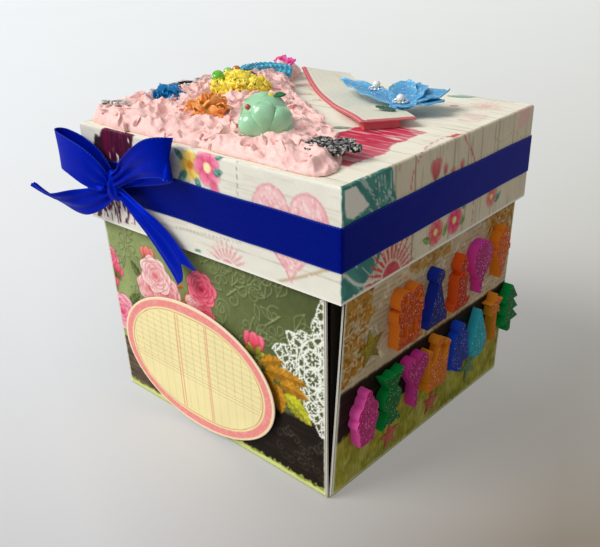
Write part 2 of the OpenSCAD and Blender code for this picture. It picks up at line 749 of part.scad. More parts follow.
module bead_wire() {
    color("#4a4642") on_lid() tube(over_paste_all([[-34, -18, -0.5], BEADS[0], [-40.5, -8, 4.9],
        BEADS[1], BEADS[2], [-40, 7, 3.5], [-36, 9.5, 0.5], [-33, 9, -1.5]]), 0.35, 0.35, 28, 6);
}

module cyan_twist() {
    color("#189fc6") on_lid() tube(over_paste_all([[-46, 8, 2.5], [-47.5, 14, 2.5],
        [-47, 22, 1.5], [-44, 29, 0.1], [-39.5, 34, -1.5]]), 1.4 * SHARE, 3.2 * SHARE, 18, 10);
}

module blossom(x, y, turn) {
    color("#d62a86") on_paste(x, y, 0.4) rotate([18, -12, turn]) {
        linear_extrude(1.2) for (i = [0:4]) rotate(72 * i) translate([1.9, 0]) circle(1.5);
        translate([0, 0, 1]) sphere(1.2, $fn = 16);
    }
}

module blossom_left() {
    blossom(-58, 48, 10);
}

module blossom_right() {
    blossom(-50, 44.5, 40);
}

// Card tag: a strip that lies across the lid, curled up at its rear end and lifted at its front.
// U runs along it from the rear and V across it from its left edge.

TAG_AT = [-41.6, 44.9, 0] * SHARE;
TAG_ANGLE = -37.1;
function tag_z(u) = let (t = u / tag_len)
    glue_t + (t < 0.38 ? tag_curl * pow(1 - t / 0.38, 2)
        : tag_lift * smooth(max(0, min(1, (t - 0.49) / 0.51))));

module on_tag() {
    on_lid() translate(TAG_AT) rotate([0, 0, TAG_ANGLE]) children();
}

module card_tag() {
    steps = 22;
    u = [for (i = [0:steps]) tag_len * i / steps];
    color("#e9dfc6") on_tag() intersection() {
        translate([0, tag_w + 1, 0]) rotate([90, 0, 0]) linear_extrude(tag_w + 2)
            polygon(concat([for (v = u) [v, tag_z(v)]],
                [for (i = [steps:-1:0]) [u[i], tag_z(u[i]) + card_t]]));
        translate([0, 0, -1]) linear_extrude(tag_curl + 5)
            polygon([[0, 0], [tag_len, 0], [tag_len, tag_w], [0.24 * tag_w, tag_w]]);
    }
}

module tag_lift_pad() {
    start = tag_len - 7 * SHARE;
    color("#d8606a") on_tag() translate([start, 0.07 * tag_w, glue_t])
        cube([6 * SHARE, 0.65 * tag_w, tag_z(start) - 2 * glue_t]);
}

// Blue flower: thin petals that rise from a flat heart on the tag's right edge

FLOWER = flower_scale * SHARE;
FLOWER_U = 0.8076 * tag_len;
FLOWER_Z = tag_z(FLOWER_U + 5 * FLOWER) + card_t + glue_t;
HEART_H = 1.6 * FLOWER;

module on_flower() {
    on_tag() translate([FLOWER_U, 1.01 * tag_w, FLOWER_Z]) rotate([0, 0, -TAG_ANGLE]) children();
}

// A flat petal with a rounded or pointed outline, tilted so that its end rises
module petal(turn, length, width, rise) {
    half = [for (i = [0:12]) [1 + length * i / 12, width / 2 * pow(sin(16 + 13.2 * i), 0.8)]];
    rotate([0, -atan(rise / length), turn]) linear_extrude(0.7)
        polygon(concat(half, [for (i = [12:-1:0]) [half[i].x, -half[i].y]]));
}

module blue_flower() {
    color("#5f9fdc") on_flower() scale(FLOWER) {
        cylinder(h = 1.6, r = 4.4);
        translate([0, 0, 0.8]) {
            petal(157, 45, 11, 1.5);
            petal(118, 17, 11, 5);
            petal(92, 17, 10, 4);
            petal(66, 21, 12, 2.6);
            petal(38, 16, 11, 0.6);
            petal(-20, 7, 9, 0.2);
        }
    }
}

module pearl_left() {
    color("#f1efe9") on_flower() translate([-20 * FLOWER, 12.4 * FLOWER,
        2.32 * FLOWER + glue_t + pearl_r]) sphere(pearl_r);
}

module pearl_right() {
    color("#f1efe9") on_flower() translate([0, 0, HEART_H + glue_t + pearl_r]) sphere(pearl_r);
}

module dark_leaf() {
    color("#1f4a3a") on_tag() translate([0.848 * tag_len, tag_w / 1.5,
        tag_z(0.913 * tag_len) + card_t + glue_t]) rotate([0, 0, 30]) scale(SHARE) linear_extrude(0.5)
            polygon([[-5, 0], [-1.5, 1.6], [3, 1], [5, 0], [3, -1], [-1.5, -1.6]]);
}

outer_sheet();
middle_sheet();
inner_sheet();
inner_mats();
front_paper();
right_paper();
back_paper();
left_paper();
oval_tag();
tag_foam_pads();
foam_gift();
foam_hat();
foam_candle();
foam_balloon();
foam_cone();
foam_cupcake();
foam_sweet();
foam_heart();
foam_crown();
foam_bell();
foam_drop();
foam_wand();
foam_tree();
star_olive();
star_blue();
star_green();
star_red_left();
star_red_right();
glitter_dot();
lid_tray();
lid_paper();
ribbon_band();
bow_loop_left();
bow_loop_right();
bow_tail_left();
bow_tail_right();
bow_knot();
paste_topping();
cake_charm();
leaf_charm();
feather_charm();
openwork_charm();
blue_charm();
orange_flower();
yellow_flower();
bead_green();
bead_lime();
bead_amber();
bead_wire();
cyan_twist();
blossom_left();
blossom_right();
card_tag();
tag_lift_pad();
blue_flower();
pearl_left();
pearl_right();
dark_leaf();
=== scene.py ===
"""A tied keepsake box of folded card: its papers, ribbon, icing and trim. Sizes are in millimetres."""
import json
import math
import random
from contextlib import contextmanager

import bmesh
import bpy
import numpy as np
from mathutils import Matrix, Vector


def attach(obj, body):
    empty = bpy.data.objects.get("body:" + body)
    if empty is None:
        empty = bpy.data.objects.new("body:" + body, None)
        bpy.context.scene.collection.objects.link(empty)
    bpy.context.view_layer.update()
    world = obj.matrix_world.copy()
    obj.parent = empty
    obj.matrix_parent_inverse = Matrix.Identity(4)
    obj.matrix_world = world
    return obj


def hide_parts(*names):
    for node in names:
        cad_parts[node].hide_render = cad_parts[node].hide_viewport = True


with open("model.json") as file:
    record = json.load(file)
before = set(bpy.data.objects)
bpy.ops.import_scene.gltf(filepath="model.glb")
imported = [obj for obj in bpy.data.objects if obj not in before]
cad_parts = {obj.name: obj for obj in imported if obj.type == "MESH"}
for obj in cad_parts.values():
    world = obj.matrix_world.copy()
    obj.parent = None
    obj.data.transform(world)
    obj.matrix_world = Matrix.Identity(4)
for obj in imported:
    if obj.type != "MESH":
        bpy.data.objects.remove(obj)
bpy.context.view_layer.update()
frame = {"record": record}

MM = 0.001
BOX_W, BOX_H, FOLD_Z = 120.0, 121.0, 1.0
FLARE, TWIST = 2.3, 2.2  # how far a wall leans out at its top, and how many degrees it turns
WALL_END, PRINT_W, PAPER_T = 58.85, 118.0, 0.19
LID_TOP, LID_BOTTOM, LID_HALF, LID_FLAT = 122.05, 83.05, 64.0, 63.0
RIBBON_Z, RIBBON_W, RIBBON_T = 102.15, 15.0, 0.4
PASTE_H = 7.5
OVAL_A, OVAL_B = 44.0, 28.5
TAG_LEN, TAG_W = 92.0, 21.0
CAMERA_AT, CAMERA_LENS, SENSOR_W = (203.22, -227.83, 196.97), 46.65, 36.0
CAMERA_ANGLES = (42.817, 25.433, -1.133)  # sideways, upward and roll, in degrees
QUARTERS = [(math.cos(k * math.pi / 2), math.sin(k * math.pi / 2)) for k in range(4)]
FRONT, RIGHT, BACK, LEFT = range(4)
SLOTS = {part["node"]: part["material_slot"] for part in frame["record"]["subparts"]}

# ---- the view ----

def add(name, data):
    thing = bpy.data.objects.new(name, data)
    bpy.context.scene.collection.objects.link(thing)
    return thing


def aim_camera():
    data = bpy.data.cameras.new("view")
    data.sensor_fit, data.sensor_width, data.lens = "HORIZONTAL", SENSOR_W, CAMERA_LENS
    data.clip_start, data.clip_end = 0.01, 50.0
    az, el, roll = (math.radians(v) for v in CAMERA_ANGLES)
    back = Vector((math.sin(az) * math.cos(el), -math.cos(az) * math.cos(el), math.sin(el)))
    side = Vector((math.cos(az), math.sin(az), 0.0))
    up = back.cross(side)
    across = side * math.cos(roll) + up * math.sin(roll)
    above = up * math.cos(roll) - side * math.sin(roll)
    view = add("view", data)
    view.matrix_world = (Matrix.Translation(Vector(CAMERA_AT) * MM)
                         @ Matrix((across, above, back)).transposed().to_4x4())
    bpy.context.scene.camera = view


aim_camera()

# ---- colours and random fields ----

def rgb(code):
    return np.array([int(code[i:i + 2], 16) for i in (1, 3, 5)]) / 255


def linear(colour):
    c = np.clip(np.asarray(colour, float), 0, 1)
    return np.where(c <= 0.04045, c / 12.92, ((c + 0.055) / 1.055) ** 2.4)


def tint(code):
    return (*(float(v) for v in linear(rgb(code))), 1.0)


def grain(x, y, size, seed=0, octaves=3):
    """A smooth random field from 0 to 1 whose marks are about size across."""
    total, weight, whole = 0.0, 1.0, 0.0
    for k in range(octaves):
        px, py = x / size * 2 ** k + 31.7 * seed, y / size * 2 ** k - 17.3 * seed
        ix, iy = np.floor(px), np.floor(py)
        fx, fy = px - ix, py - iy
        fx, fy = fx * fx * (3 - 2 * fx), fy * fy * (3 - 2 * fy)

        def knot(a, b):
            h = np.sin(a * 127.1 + b * 311.7 + (seed + 17 * k) * 7.47) * 43758.5453
            return h - np.floor(h)

        low = knot(ix, iy) * (1 - fx) + knot(ix + 1, iy) * fx
        high = knot(ix, iy + 1) * (1 - fx) + knot(ix + 1, iy + 1) * fx
        total = total + (low * (1 - fy) + high * fy) * weight
        whole += weight
        weight /= 2
    return total / whole


def ease(v):
    v = np.clip(v, 0, 1)
    return v * v * (3 - 2 * v)


def within(distance, edge=0.45):
    """1 inside an outline and 0 outside it, from the distance to it."""
    return np.clip(0.5 - distance / edge, 0, 1)


def from_line(x, y, path):
    """How far x, y lies from a line through the points of path."""
    best = np.full(x.shape, 1e9)
    for (ax, ay), (bx, by) in zip(path, path[1:]):
        dx, dy = bx - ax, by - ay
        t = np.clip(((x - ax) * dx + (y - ay) * dy) / (dx * dx + dy * dy + 1e-9), 0, 1)
        best = np.minimum(best, np.hypot(x - ax - t * dx, y - ay - t * dy))
    return best


def from_shape(x, y, corners):
    """How far x, y lies from a closed outline, less than 0 inside it."""
    inside = np.zeros(x.shape, bool)
    for a, b in zip(corners, corners[1:] + corners[:1]):
        slope = (b[0] - a[0]) / ((b[1] - a[1]) or 1e-9)
        inside ^= ((a[1] > y) != (b[1] > y)) & (x < slope * (y - a[1]) + a[0])
    return np.where(inside, -1, 1) * from_line(x, y, corners + corners[:1])


def smooth_path(points, count):
    return [tuple(p) for p in spline(points, np.linspace(0, 1, count))]


def spline(points, share, closed=False):
    """Points on a smooth curve through points, at shares of its length."""
    p = np.asarray(points, float)
    n = len(p)
    m = n if closed else n - 1
    s = np.minimum(share, 0.99999) * m
    i = np.floor(s).astype(int)
    f = (s - i)[:, None]
    pick = (lambda k: p[k % n]) if closed else (lambda k: p[np.clip(k, 0, m)])
    a, b, c, d = pick(i - 1), pick(i), pick(i + 1), pick(i + 2)
    return 0.5 * (2 * b + (c - a) * f + (2 * a - 5 * b + 4 * c - d) * f ** 2
                  + (3 * b - a - 3 * c + d) * f ** 3)


# ---- printed papers, painted point by point ----

# how far out the lace's rim reaches, by its angle in degrees
LACE_RIM = ((0, 60, 90, 106, 121, 136, 150, 163, 177, 190, 204, 217, 231, 242, 258, 270, 300),
            (1, 1.1, 1.1, 0.85, 0.55, 0.62, 0.76, 0.7, 0.95, 0.74, 0.86, 0.72, 0.86, 0.74, 0.88, 0.95, 1))


class Print:
    """Colours at the points x, y of a face."""

    def __init__(self, x, y, ground, seed=0):
        self.x, self.y, self.seed = x, y, seed
        self.rgb = np.ones((len(x), 3)) * (rgb(ground) if isinstance(ground, str) else ground)

    @contextmanager
    def near(self, x, y, reach):
        i = np.flatnonzero((abs(self.x - x) < reach) & (abs(self.y - y) < reach))
        part = Print(self.x[i], self.y[i], self.rgb[i], self.seed)
        yield part
        self.rgb[i] = part.rgb

    def noise(self, size, seed=0, octaves=3, stretch=(1, 1)):
        return grain(self.x / stretch[0], self.y / stretch[1], size, self.seed + seed, octaves)

    def lay(self, mask, colour):
        colour = rgb(colour) if isinstance(colour, str) else colour
        self.rgb += (colour - self.rgb) * np.clip(mask, 0, 1)[:, None]

    def shade(self, amount):
        self.rgb *= amount[:, None]

    def stroke(self, path, width, colour, strength=1.0, rough=0.0, dash=None):
        xs, ys = zip(*path)
        middle = (min(xs) + max(xs)) / 2, (min(ys) + max(ys)) / 2
        reach = max(max(xs) - min(xs), max(ys) - min(ys)) / 2 + width + 1
        with self.near(*middle, reach) as p:
            mask = within(from_line(p.x, p.y, path) - width / 2) * strength
            if rough:
                mask = mask * (p.noise(1.6, 5) > rough)
            if dash:
                mask = mask * ((p.x + 0.6 * p.y) % dash < 0.55 * dash)
            p.lay(mask, colour)

    def fill(self, corners, colour, rough=0.0, holes=0.0, stretch=(1, 1), strength=1.0):
        """A patch with a ragged edge, and scratches through which the ground shows."""
        d = from_shape(self.x, self.y, corners) + rough * (self.noise(3, 7, 4, stretch) - 0.5)
        mask = within(d) * strength
        if holes:
            mask = mask * ease((self.noise(2.4, 11, 4, stretch) - holes) * 7 + 0.5)
        self.lay(mask, colour)
        return mask

    def disc(self, x, y, r, colour):
        with self.near(x, y, r + 1) as p:
            p.lay(within(np.hypot(p.x - x, p.y - y) - r), colour)

    def petal(self, x, y, reach, width, turn, dark, light, seed=0):
        """One petal from x, y, light at its rim, with a fold line and a shadow round it."""
        dark, light = rgb(dark), rgb(light)
        c, s = math.cos(math.radians(turn)), math.sin(math.radians(turn))
        with self.near(x + c * reach / 2, y + s * reach / 2, 0.8 * max(reach, width) + 1) as p:
            a = ((p.x - x) * c + (p.y - y) * s) / reach
            v = (p.y - y) * c - (p.x - x) * s
            half = width / 2 * np.sqrt(np.clip(1 - (2 * np.clip(a, 0, 1) ** 1.3 - 1) ** 2, 0, 1))
            half = half * (1 + 0.1 * np.sin(a * 9 + seed))
            away = abs(v) - half + np.clip(abs(a - 0.5) - 0.5, 0, 9) * reach
            p.lay(within(away - 0.5, 1.2) * 0.4, dark * 0.7)
            t = np.clip(0.1 + 0.75 * a + 0.35 * (p.noise(1.6, seed) - 0.4), 0, 1)
            t = t - 0.25 * within(abs(v - 0.1 * width) - 0.15, 0.7) * (a < 0.8)
            p.lay(within(away), dark + (light - dark) * np.clip(t, 0, 1)[:, None])

    def rose(self, x, y, r, dark, light, seed):
        """A full-blown rose: rings of cupped petals round a tight heart."""
        draw, flat = random.Random(seed), 0.9
        low, high = rgb(dark), rgb(light)
        with self.near(x, y, 1.35 * r + 1) as p:
            for ring, (reach, size, count) in enumerate(
                    ((0.62, 0.47, 7), (0.5, 0.43, 6), (0.36, 0.38, 5), (0.22, 0.31, 5), (0.1, 0.22, 4))):
                for k in range(count):
                    a = 2 * math.pi * (k + 0.45 * ring + 0.3 * draw.random()) / count
                    c, s = math.cos(a), math.sin(a)
                    px, py = x + r * reach * c, y + r * reach * s * flat
                    span = r * size * (0.9 + 0.2 * draw.random())
                    d = np.hypot(p.x - px, (p.y - py) / flat) / span
                    d = d + 0.22 * (p.noise(0.3 * r, 3 * k + ring) - 0.5)
                    out = ((p.x - px) * c + (p.y - py) * s) / span
                    p.lay(within((d - 1.1) * span, 1.1) * 0.5, low * 0.82)
                    t = 0.5 + 0.42 * out + 0.3 * (p.noise(1.2, k) - 0.5) - 0.05 * ring
                    t = t + 0.25 * within(abs(d - 0.94) * span - 0.2, 0.6)
                    p.lay(within((d - 1) * span), low + (high - low) * np.clip(t, 0, 1)[:, None])

    def bud(self, x, y, r, turn, dark, light, sepal="#7f8a3c"):
        for side, wide in ((-24, 1.1), (24, 1.1), (0, 1.0)):
            self.petal(x, y, 2 * r, wide * r, turn + side, dark, light, int(r * 10) + side)
        for side in (-70, -35, 35, 70):
            self.petal(x, y, 1.1 * r, 0.4 * r, turn + side, "#4d5a25", sepal, side)

    def leaf(self, a, b, width, colour, vein, teeth=0.0, curl=0.0):
        (ax, ay), (bx, by) = a, b
        length = math.hypot(bx - ax, by - ay)
        ux, uy = (bx - ax) / length, (by - ay) / length
        with self.near((ax + bx) / 2, (ay + by) / 2, 0.6 * length + width) as p:
            s = ((p.x - ax) * ux + (p.y - ay) * uy) / length
            v = (p.y - ay) * ux - (p.x - ax) * uy - curl * length * s * (1 - s)
            half = width / 2 * np.sin(math.pi * np.clip(s, 0, 1) ** 0.8) ** 0.8
            half = half * (1 + teeth * (np.abs(np.sin(s * length * 1.3)) - 0.4))
            mask = within(abs(v) - half) * (s > 0) * (s < 1)
            tone = np.where(v > 0, 1.0, 0.8) * (0.8 + 0.4 * p.noise(1.5, 4))
            p.lay(mask, rgb(colour) * tone[:, None])
            ribs = within(abs(v) - 0.1) + within(abs((s * length - 1.1 * abs(v)) % 2.4 - 1.2) - 0.1)
            p.lay(mask * np.clip(ribs, 0, 1) * 0.7, vein)

    def etch(self, path, width, light="#b3bd88", dark="#424b28", strength=0.6):
        """A tone-on-tone line drawn as if raised: a painted highlight along one side and a painted shadow along the
        other.
        """
        self.stroke([(x + 0.4, y - 0.4) for x, y in path], width, dark, strength)
        self.stroke(path, width, light, strength * 0.7)

    def etched_flower(self, x, y, r, turn):
        for k in range(5):
            a = turn + 2 * math.pi * k / 5
            side = [(x + d * r * math.cos(a + w), y + d * r * math.sin(a + w))
                    for d, w in ((0.2, 0), (0.6, 0.42), (0.92, 0.3), (1, 0), (0.92, -0.3), (0.6, -0.42), (0.2, 0))]
            self.etch(smooth_path(side, 16), 0.5)

    def curl(self, x, y, r, turn, rounds, flip, **looks):
        t = np.linspace(0, 1, 22)
        a = turn + flip * 2 * math.pi * rounds * t
        self.etch(list(zip(x + r * (1 - 0.8 * t) * np.cos(a), y + r * (1 - 0.8 * t) * np.sin(a))), 0.6, **looks)

    def burst(self, x, y, core, reach, colour, rays, end, strength=0.8):
        """A sun of wedges round a core, from the right as far round as end, in degrees."""
        with self.near(x, y, reach + 1) as p:
            d, a = np.hypot(p.x - x, p.y - y), np.degrees(np.arctan2(p.y - y, p.x - x)) % 360
            wedge = (a % (360 / rays)) / (360 / rays)
            tip = reach * (0.82 + 0.18 * np.sin(a * rays / 57.3 * 2.1))
            mask = within(abs(wedge - 0.5) * 2 * math.pi * d / rays - 0.55 * math.pi * d / rays) * within(d - tip)
            mask = np.maximum(mask * (d > core * 1.15), within(d - core)) * (a <= end)
            p.lay(mask * strength * (0.75 + 0.4 * p.noise(1.5)), colour)

    def lace(self, x, y, r):
        """A crocheted doily: rosettes joined by a net, inside an uneven pointed rim."""
        with self.near(x, y, 1.2 * r) as p:
            d, a = np.hypot(p.x - x, p.y - y), np.arctan2(p.y - y, p.x - x)
            small = 1 - abs((a * 20 / math.pi) % 2 - 1)
            rim = r * (np.interp(np.degrees(a) % 360, *LACE_RIM) + 0.07 * small) - 0.4 * abs(np.sin(a * 70))
            net = np.zeros(len(d))
            for k in range(3):
                q = (p.x * math.cos(k * math.pi / 3 + 0.2) + p.y * math.sin(k * math.pi / 3 + 0.2)
                     + 0.3 * np.sin(p.y * 1.1 + 2 * k)) / 3.3
                net = np.maximum(net, within(abs(q % 1 - 0.5) * 3.3 - 0.3, 0.3))
            spots = [(0.33, 2 * math.pi * k / 7, 0.13) for k in range(7)]
            spots += [(0.66, 0.19 + 0.45 * k, 0.1) for k in range(14)]
            for share, angle, size in spots:
                qx, qy = p.x - x - share * r * math.cos(angle), p.y - y - share * r * math.sin(angle)
                e, b = np.hypot(qx, qy) / (size * r), np.arctan2(qy, qx)
                net = net * (e > 1)
                loops = 0.3 + 0.6 * abs(np.cos(2.5 * b))
                net = np.maximum(net, within((abs(e - loops) - 0.13) * size * r, 0.3) * (e < 1.05))
                net = np.maximum(net, within((e - 0.2) * size * r, 0.3))
                net = np.maximum(net, within((abs(e - 1) - 0.12) * size * r, 0.3))
            mask = net * within(d - rim)
            mask = np.maximum(mask, within(abs(d - rim) - 0.42, 0.35))
            mask = np.maximum(mask, within(abs(d - 0.52 * r) - 0.3, 0.35))
            p.lay(mask * 0.97, "#f6f8f0")


def paint_wood(p, mask, left="#56483b", right="#1b120b", plank=8.4):
    """Weathered planks that run sideways, greyed at the left."""
    t = ease((p.x + 58) / 90)
    streak = p.noise(1.1, 21, 4, (16, 1)) + 0.35 * p.noise(0.8, 22, 2, (5, 1))
    tone = 0.3 + 1.15 * streak - 0.5 * within(abs(p.y % plank - 0.4) - 0.25, 0.8)
    colour = rgb(left) + (rgb(right) - rgb(left)) * t[:, None]
    p.lay(mask, colour * tone[:, None])


def paint_floral(p):
    """Olive paper with roses, serrated leaves and lace over a band of planks."""
    side = ease((p.x + 58) / 116)[:, None]
    p.rgb = rgb("#93a067") + (rgb("#525b34") - rgb("#93a067")) * side
    p.shade(0.84 + 0.22 * p.noise(9, 1, 4) + 0.1 * p.noise(1.2, 2, 2))
    for x, y, angle in ((-50, 88, 20), (-28, 88, 150), (2, 86, 200), (14, 74, 40), (30, 74, 120), (-12, 92, 10),
                        (22, 90, 300), (40, 84, 200), (26, 56, 60), (8, 56, 140), (44, 66, 20), (-40, 92, 250)):
        for side_angle in (-42, 0, 42):
            a = math.radians(angle + side_angle)
            tip = x + 8.5 * math.cos(a), y + 8.5 * math.sin(a)
            for bend in (2.6, -2.6):
                middle = (x + tip[0]) / 2 - bend * math.sin(a), (y + tip[1]) / 2 + bend * math.cos(a)
                p.etch(smooth_path([(x, y), middle, tip], 10), 0.5)
            p.etch([(x, y), tip], 0.35)
    for x, y, r, turn in ((21.9, 76.6, 6.5, 0.3), (-47.7, 73.6, 5.5, 1), (7.6, 77, 4.6, 0.6), (36, 60, 5, 0),
                          (-20, 79, 4, 0.4), (14, 47, 5, 0.9), (-45, 52, 4, 0.1), (4, 92, 6, 0.2), (-30, 98, 6, 1)):
        p.etched_flower(x, y, r, turn)
    for x, y, r, turn, flip in ((7.6, 62.5, 4.5, 0, 1), (14, 68, 3.4, 2, -1), (34.1, 68.5, 4, 1, 1),
                                (12, 82, 4, 3, 1), (30, 82, 3.6, 0, -1), (20, 60, 3, 4, 1), (-54, 66, 3.4, 2, 1),
                                (47, 88, 4, 1, -1), (-8, 84, 3.6, 2, 1), (18, 53, 3, 1, -1), (-44, 80, 3, 5, -1)):
        p.curl(x, y, r, turn, 1.15, flip)
    for a, b in (((28, 70), (34, 66)), ((31, 64), (37, 69)), ((16, 73), (11, 69)), ((25, 70), (27, 64)),
                 ((2, 72), (8, 70)), ((-42, 70), (-38, 66)), ((-50, 68), (-52, 62)), ((26, 60), (31, 57))):
        mid = ((a[0] + b[0]) / 2 + 1.2, (a[1] + b[1]) / 2 + 1.2)
        p.etch(smooth_path([a, mid, b], 8), 0.6)
        p.etch(smooth_path([a, (mid[0] - 2.2, mid[1] - 2.2), b], 8), 0.5)
    top = 26 + 4.8 * ease((p.x + 10) / 70) + 0.5 * p.noise(2, 3)
    paint_wood(p, within(p.y - top))
    p.lay(within(abs(p.y - top + 0.5) - 0.35, 0.8) * 0.4 * (p.x > 15), "#9a8d74")
    # The carved curls in the planks are etched lines: a painted highlight and a painted shadow along each.
    carved = {"light": "#8d857a", "dark": "#140e0a"}
    for k in range(9):
        x = 36 + 2.6 * k
        p.curl(x, 19 + 3 * math.sin(k), 2.6, k, 1.0, 1 - 2 * (k % 2), strength=0.4, **carved)
        p.curl(x, 11 + 2 * math.cos(2 * k), 2.2, k + 2, 1.0, 1, strength=0.32, **carved)
    p.lace(60, 53.5, 28)
    p.lay(within(abs(p.x - 57.4 - 0.6 * np.sin(p.y * 1.6)) - 0.9) * (p.y > 30) * 0.7, "#e9ebdc")
    for a, b, w in (((27, 46.5), (38, 51), 5), ((29, 44), (49.5, 45.5), 6), ((36.2, 41), (50, 40), 6),
                    ((34.6, 40), (36.6, 28), 6.4), ((31.5, 38.5), (28.5, 30), 5), ((28, 43), (33, 36), 5.5)):
        p.leaf(a, b, w, "#c88c22", "#7a5212", 0.35, 0.08)
    p.leaf((38.5, 37.5), (51.5, 29.4), 7, "#b9b81e", "#f0ee84", 0.3, 0.1)
    p.leaf((24.3, 49), (27, 43), 3, "#a8a444", "#d5cf7c")
    p.bud(24.0, 48.6, 4.8, 92, "#d01438", "#ff8ca0", "#d8c83a")
    for x, y in ((-17.6, 63.5), (-13.4, 60.8), (-15.2, 57.4)):
        p.leaf((x, y), (x + 4.4, y + 1.5), 2.6, "#b0672b", "#d99a55")
    for a, b, w in (((-51, 44), (-42, 52), 4.4), ((-46, 38), (-36, 43), 4), ((-40, 60), (-46, 67), 4),
                    ((-22, 50), (-12, 46), 4.4), ((-6, 50), (4, 46), 4), ((-64, 44), (-58, 52), 4)):
        p.leaf(a, b, w, "#5c6a33", "#98a263", 0.2, 0.1)
    p.bud(-33.6, 68.6, 3.8, 96, "#cc4448", "#ff9c8e")
    p.rose(-61.5, 63.5, 6.6, "#c01440", "#ff9db0", 3)
    for x, y, r, angle in ((-62.5, 49.5, 4.6, 75), (-58.2, 55.8, 3.6, 62)):
        p.bud(x, y, r, angle, "#c8183e", "#ff88a0")
    for x, y, r, dark, light, seed in ((-56.8, 38.8, 9.4, "#d83868", "#ffcfd4", 5),
                                       (-34.5, 57.4, 8.0, "#dd5a68", "#ffe0d8", 8),
                                       (-24.6, 58.2, 8.2, "#d84c60", "#ffdad4", 9),
                                       (-30.4, 64.4, 8.8, "#e0626e", "#fff0e8", 7),
                                       (-7.4, 58.6, 5.2, "#e0707c", "#ffe6de", 12),
                                       (-1.6, 56.2, 4.4, "#c01c3c", "#ff90a0", 13),
                                       (-3.0, 67.0, 7.6, "#bc1238", "#ff8a9c", 11)):
        p.rose(x, y, r, dark, light, seed)
    edge = p.noise(1.4, 31, 3)
    p.lay(within(p.y - 2.4 - 3.2 * edge) * 0.9, "#a3ad4c")
    p.lay(within(p.y - 2.4 - 2.0 * p.noise(3, 33)), "#d3dc8a")


def paint_cork(p):
    """Cream sheet of faint ruled dashes with rubbed cork patches, over planks and grass."""
    p.rgb = rgb("#cdbb98") * np.ones((len(p.x), 1))
    p.shade(0.82 + 0.3 * p.noise(14, 1, 4))
    row = np.floor(p.y / 2.1)
    word = grain(p.x + 37 * np.sin(row * 9.1), row * 7.3, 2.6, 5, 2)
    marks = within(abs(p.y % 2.1 - 0.9) - 0.35) * (word > 0.4) * (p.noise(16, 9) > 0.38)
    p.lay(marks * 0.36, "#7c6342")
    cracks = abs(p.noise(5, 14, 3) - 0.5) < 0.018
    p.lay(cracks * 0.7, "#efe6d2")
    for corners, strength in (
            ([(-64, 82), (-43, 83), (-40, 72), (-45, 62), (-42, 52), (-52, 47), (-64, 44)], 0.95),
            ([(34, 84), (64, 84), (64, 58), (52, 60), (44, 70), (38, 74)], 0.9),
            ([(-20, 84), (6, 84), (8, 78), (-6, 74), (-18, 78)], 0.6),
            ([(-10, 56), (18, 54), (30, 47), (12, 44), (-14, 46)], 0.55)):
        m = p.fill(corners, "#b27c20", 6, 0.33, strength=strength)
        p.lay(m * (p.noise(1.1, 41, 2) > 0.56) * 0.6, "#744a10")
        p.lay(m * (p.noise(2.3, 43, 3) > 0.6) * 0.5, "#cf9c56")
        p.lay(m * (abs(p.noise(2.6, 45, 2) - 0.5) < 0.03) * 0.8, "#e9dcc0")
    p.stroke([(-60, 79), (-30, 74), (0, 77), (40, 72)], 0.6, "#9c8360", 0.35, 0.45)
    top = 44.5 + 0.8 * p.noise(2, 3)
    paint_wood(p, within(p.y - top), "#21160d", "#1c120a", 7.6)
    p.lay(within(abs(p.y - top + 0.4) - 0.3, 0.9) * 0.45, "#a48b66")
    line = 21.5 + 3.5 * p.noise(7, 51, 3) + 1.6 * p.noise(0.9, 52, 2)
    grass = within(p.y - line, 1.2)
    blades = 0.6 * p.noise(0.8, 53, 3, (1, 3)) + 0.4 * p.noise(5, 54, 3)
    t = np.clip(blades * 1.5 - 0.2, 0, 1)[:, None]
    p.lay(grass, rgb("#6f6c0a") + (rgb("#c4bc54") - rgb("#6f6c0a")) * t)
    p.lay(grass * ease(p.noise(7, 57, 3) * 4 - 1.9) * 0.45, "#c6bc78")
    p.lay(grass * ease(p.noise(6, 58, 3) * 4 - 2.1) * 0.4, "#65681a")
    p.lay(within(p.y - 1.6 - 1.4 * p.noise(2, 59)) * 0.85, "#d6d49c")


CREAM = "#ebe8db"
CORAL, TEAL, PLUM = "#d9565e", "#4c8f84", "#420a2c"
PALE_MINT, CHALK, TWINE = "#b8d8cc", "#e8e4d8", "#b89b72"
PLANKS = (-95, -83, -71, -59.5, -47.4, -35.6, -24, -11.6, 0.9, 11.4, 21.6, 32.4, 35.3, 47.4, 59, 71, 83, 95)


def paint_boards(p, across, depth=1.0):
    """Cream whitewashed boards: the joints lie at the places PLANKS across them, with scratches beside them."""
    along = (p.x + p.y) - across
    streak = grain(across, along / 14, 1.0, 61, 3)
    p.shade(0.955 + 0.05 * p.noise(7, 62, 4) + 0.04 * depth * (streak - 0.5))
    p.lay(ease((streak - 0.66) * 9) * 0.3 * depth * (p.noise(12, 60) > 0.45), "#9c8f74")
    for k, place in enumerate(PLANKS):
        wobble = place + 0.25 * np.sin(along * 0.11 + k)
        p.lay(within(abs(across - wobble) - 0.17) * (0.5 if k % 3 else 0.8) * depth
              * ease(p.noise(11, 63 + k) * 5 - 1.2), "#7f7355")
        for gap in (-1.5, 0.8, 2.2):
            p.lay(within(abs(across - wobble - gap) - 0.08, 0.4) * 0.45 * depth
                  * ease(grain(along, 0 * along, 13, 7 * k + int(gap), 2) * 7 - 3.6), "#8a7c60")


def small_flower(p, x, y, r, petals, dark, light, heart, seed):
    for k in range(petals):
        p.petal(x, y, r, 0.85 * r, 360 * k / petals + 20 * seed, dark, light, seed + k)
    p.disc(x, y, 0.28 * r, heart)


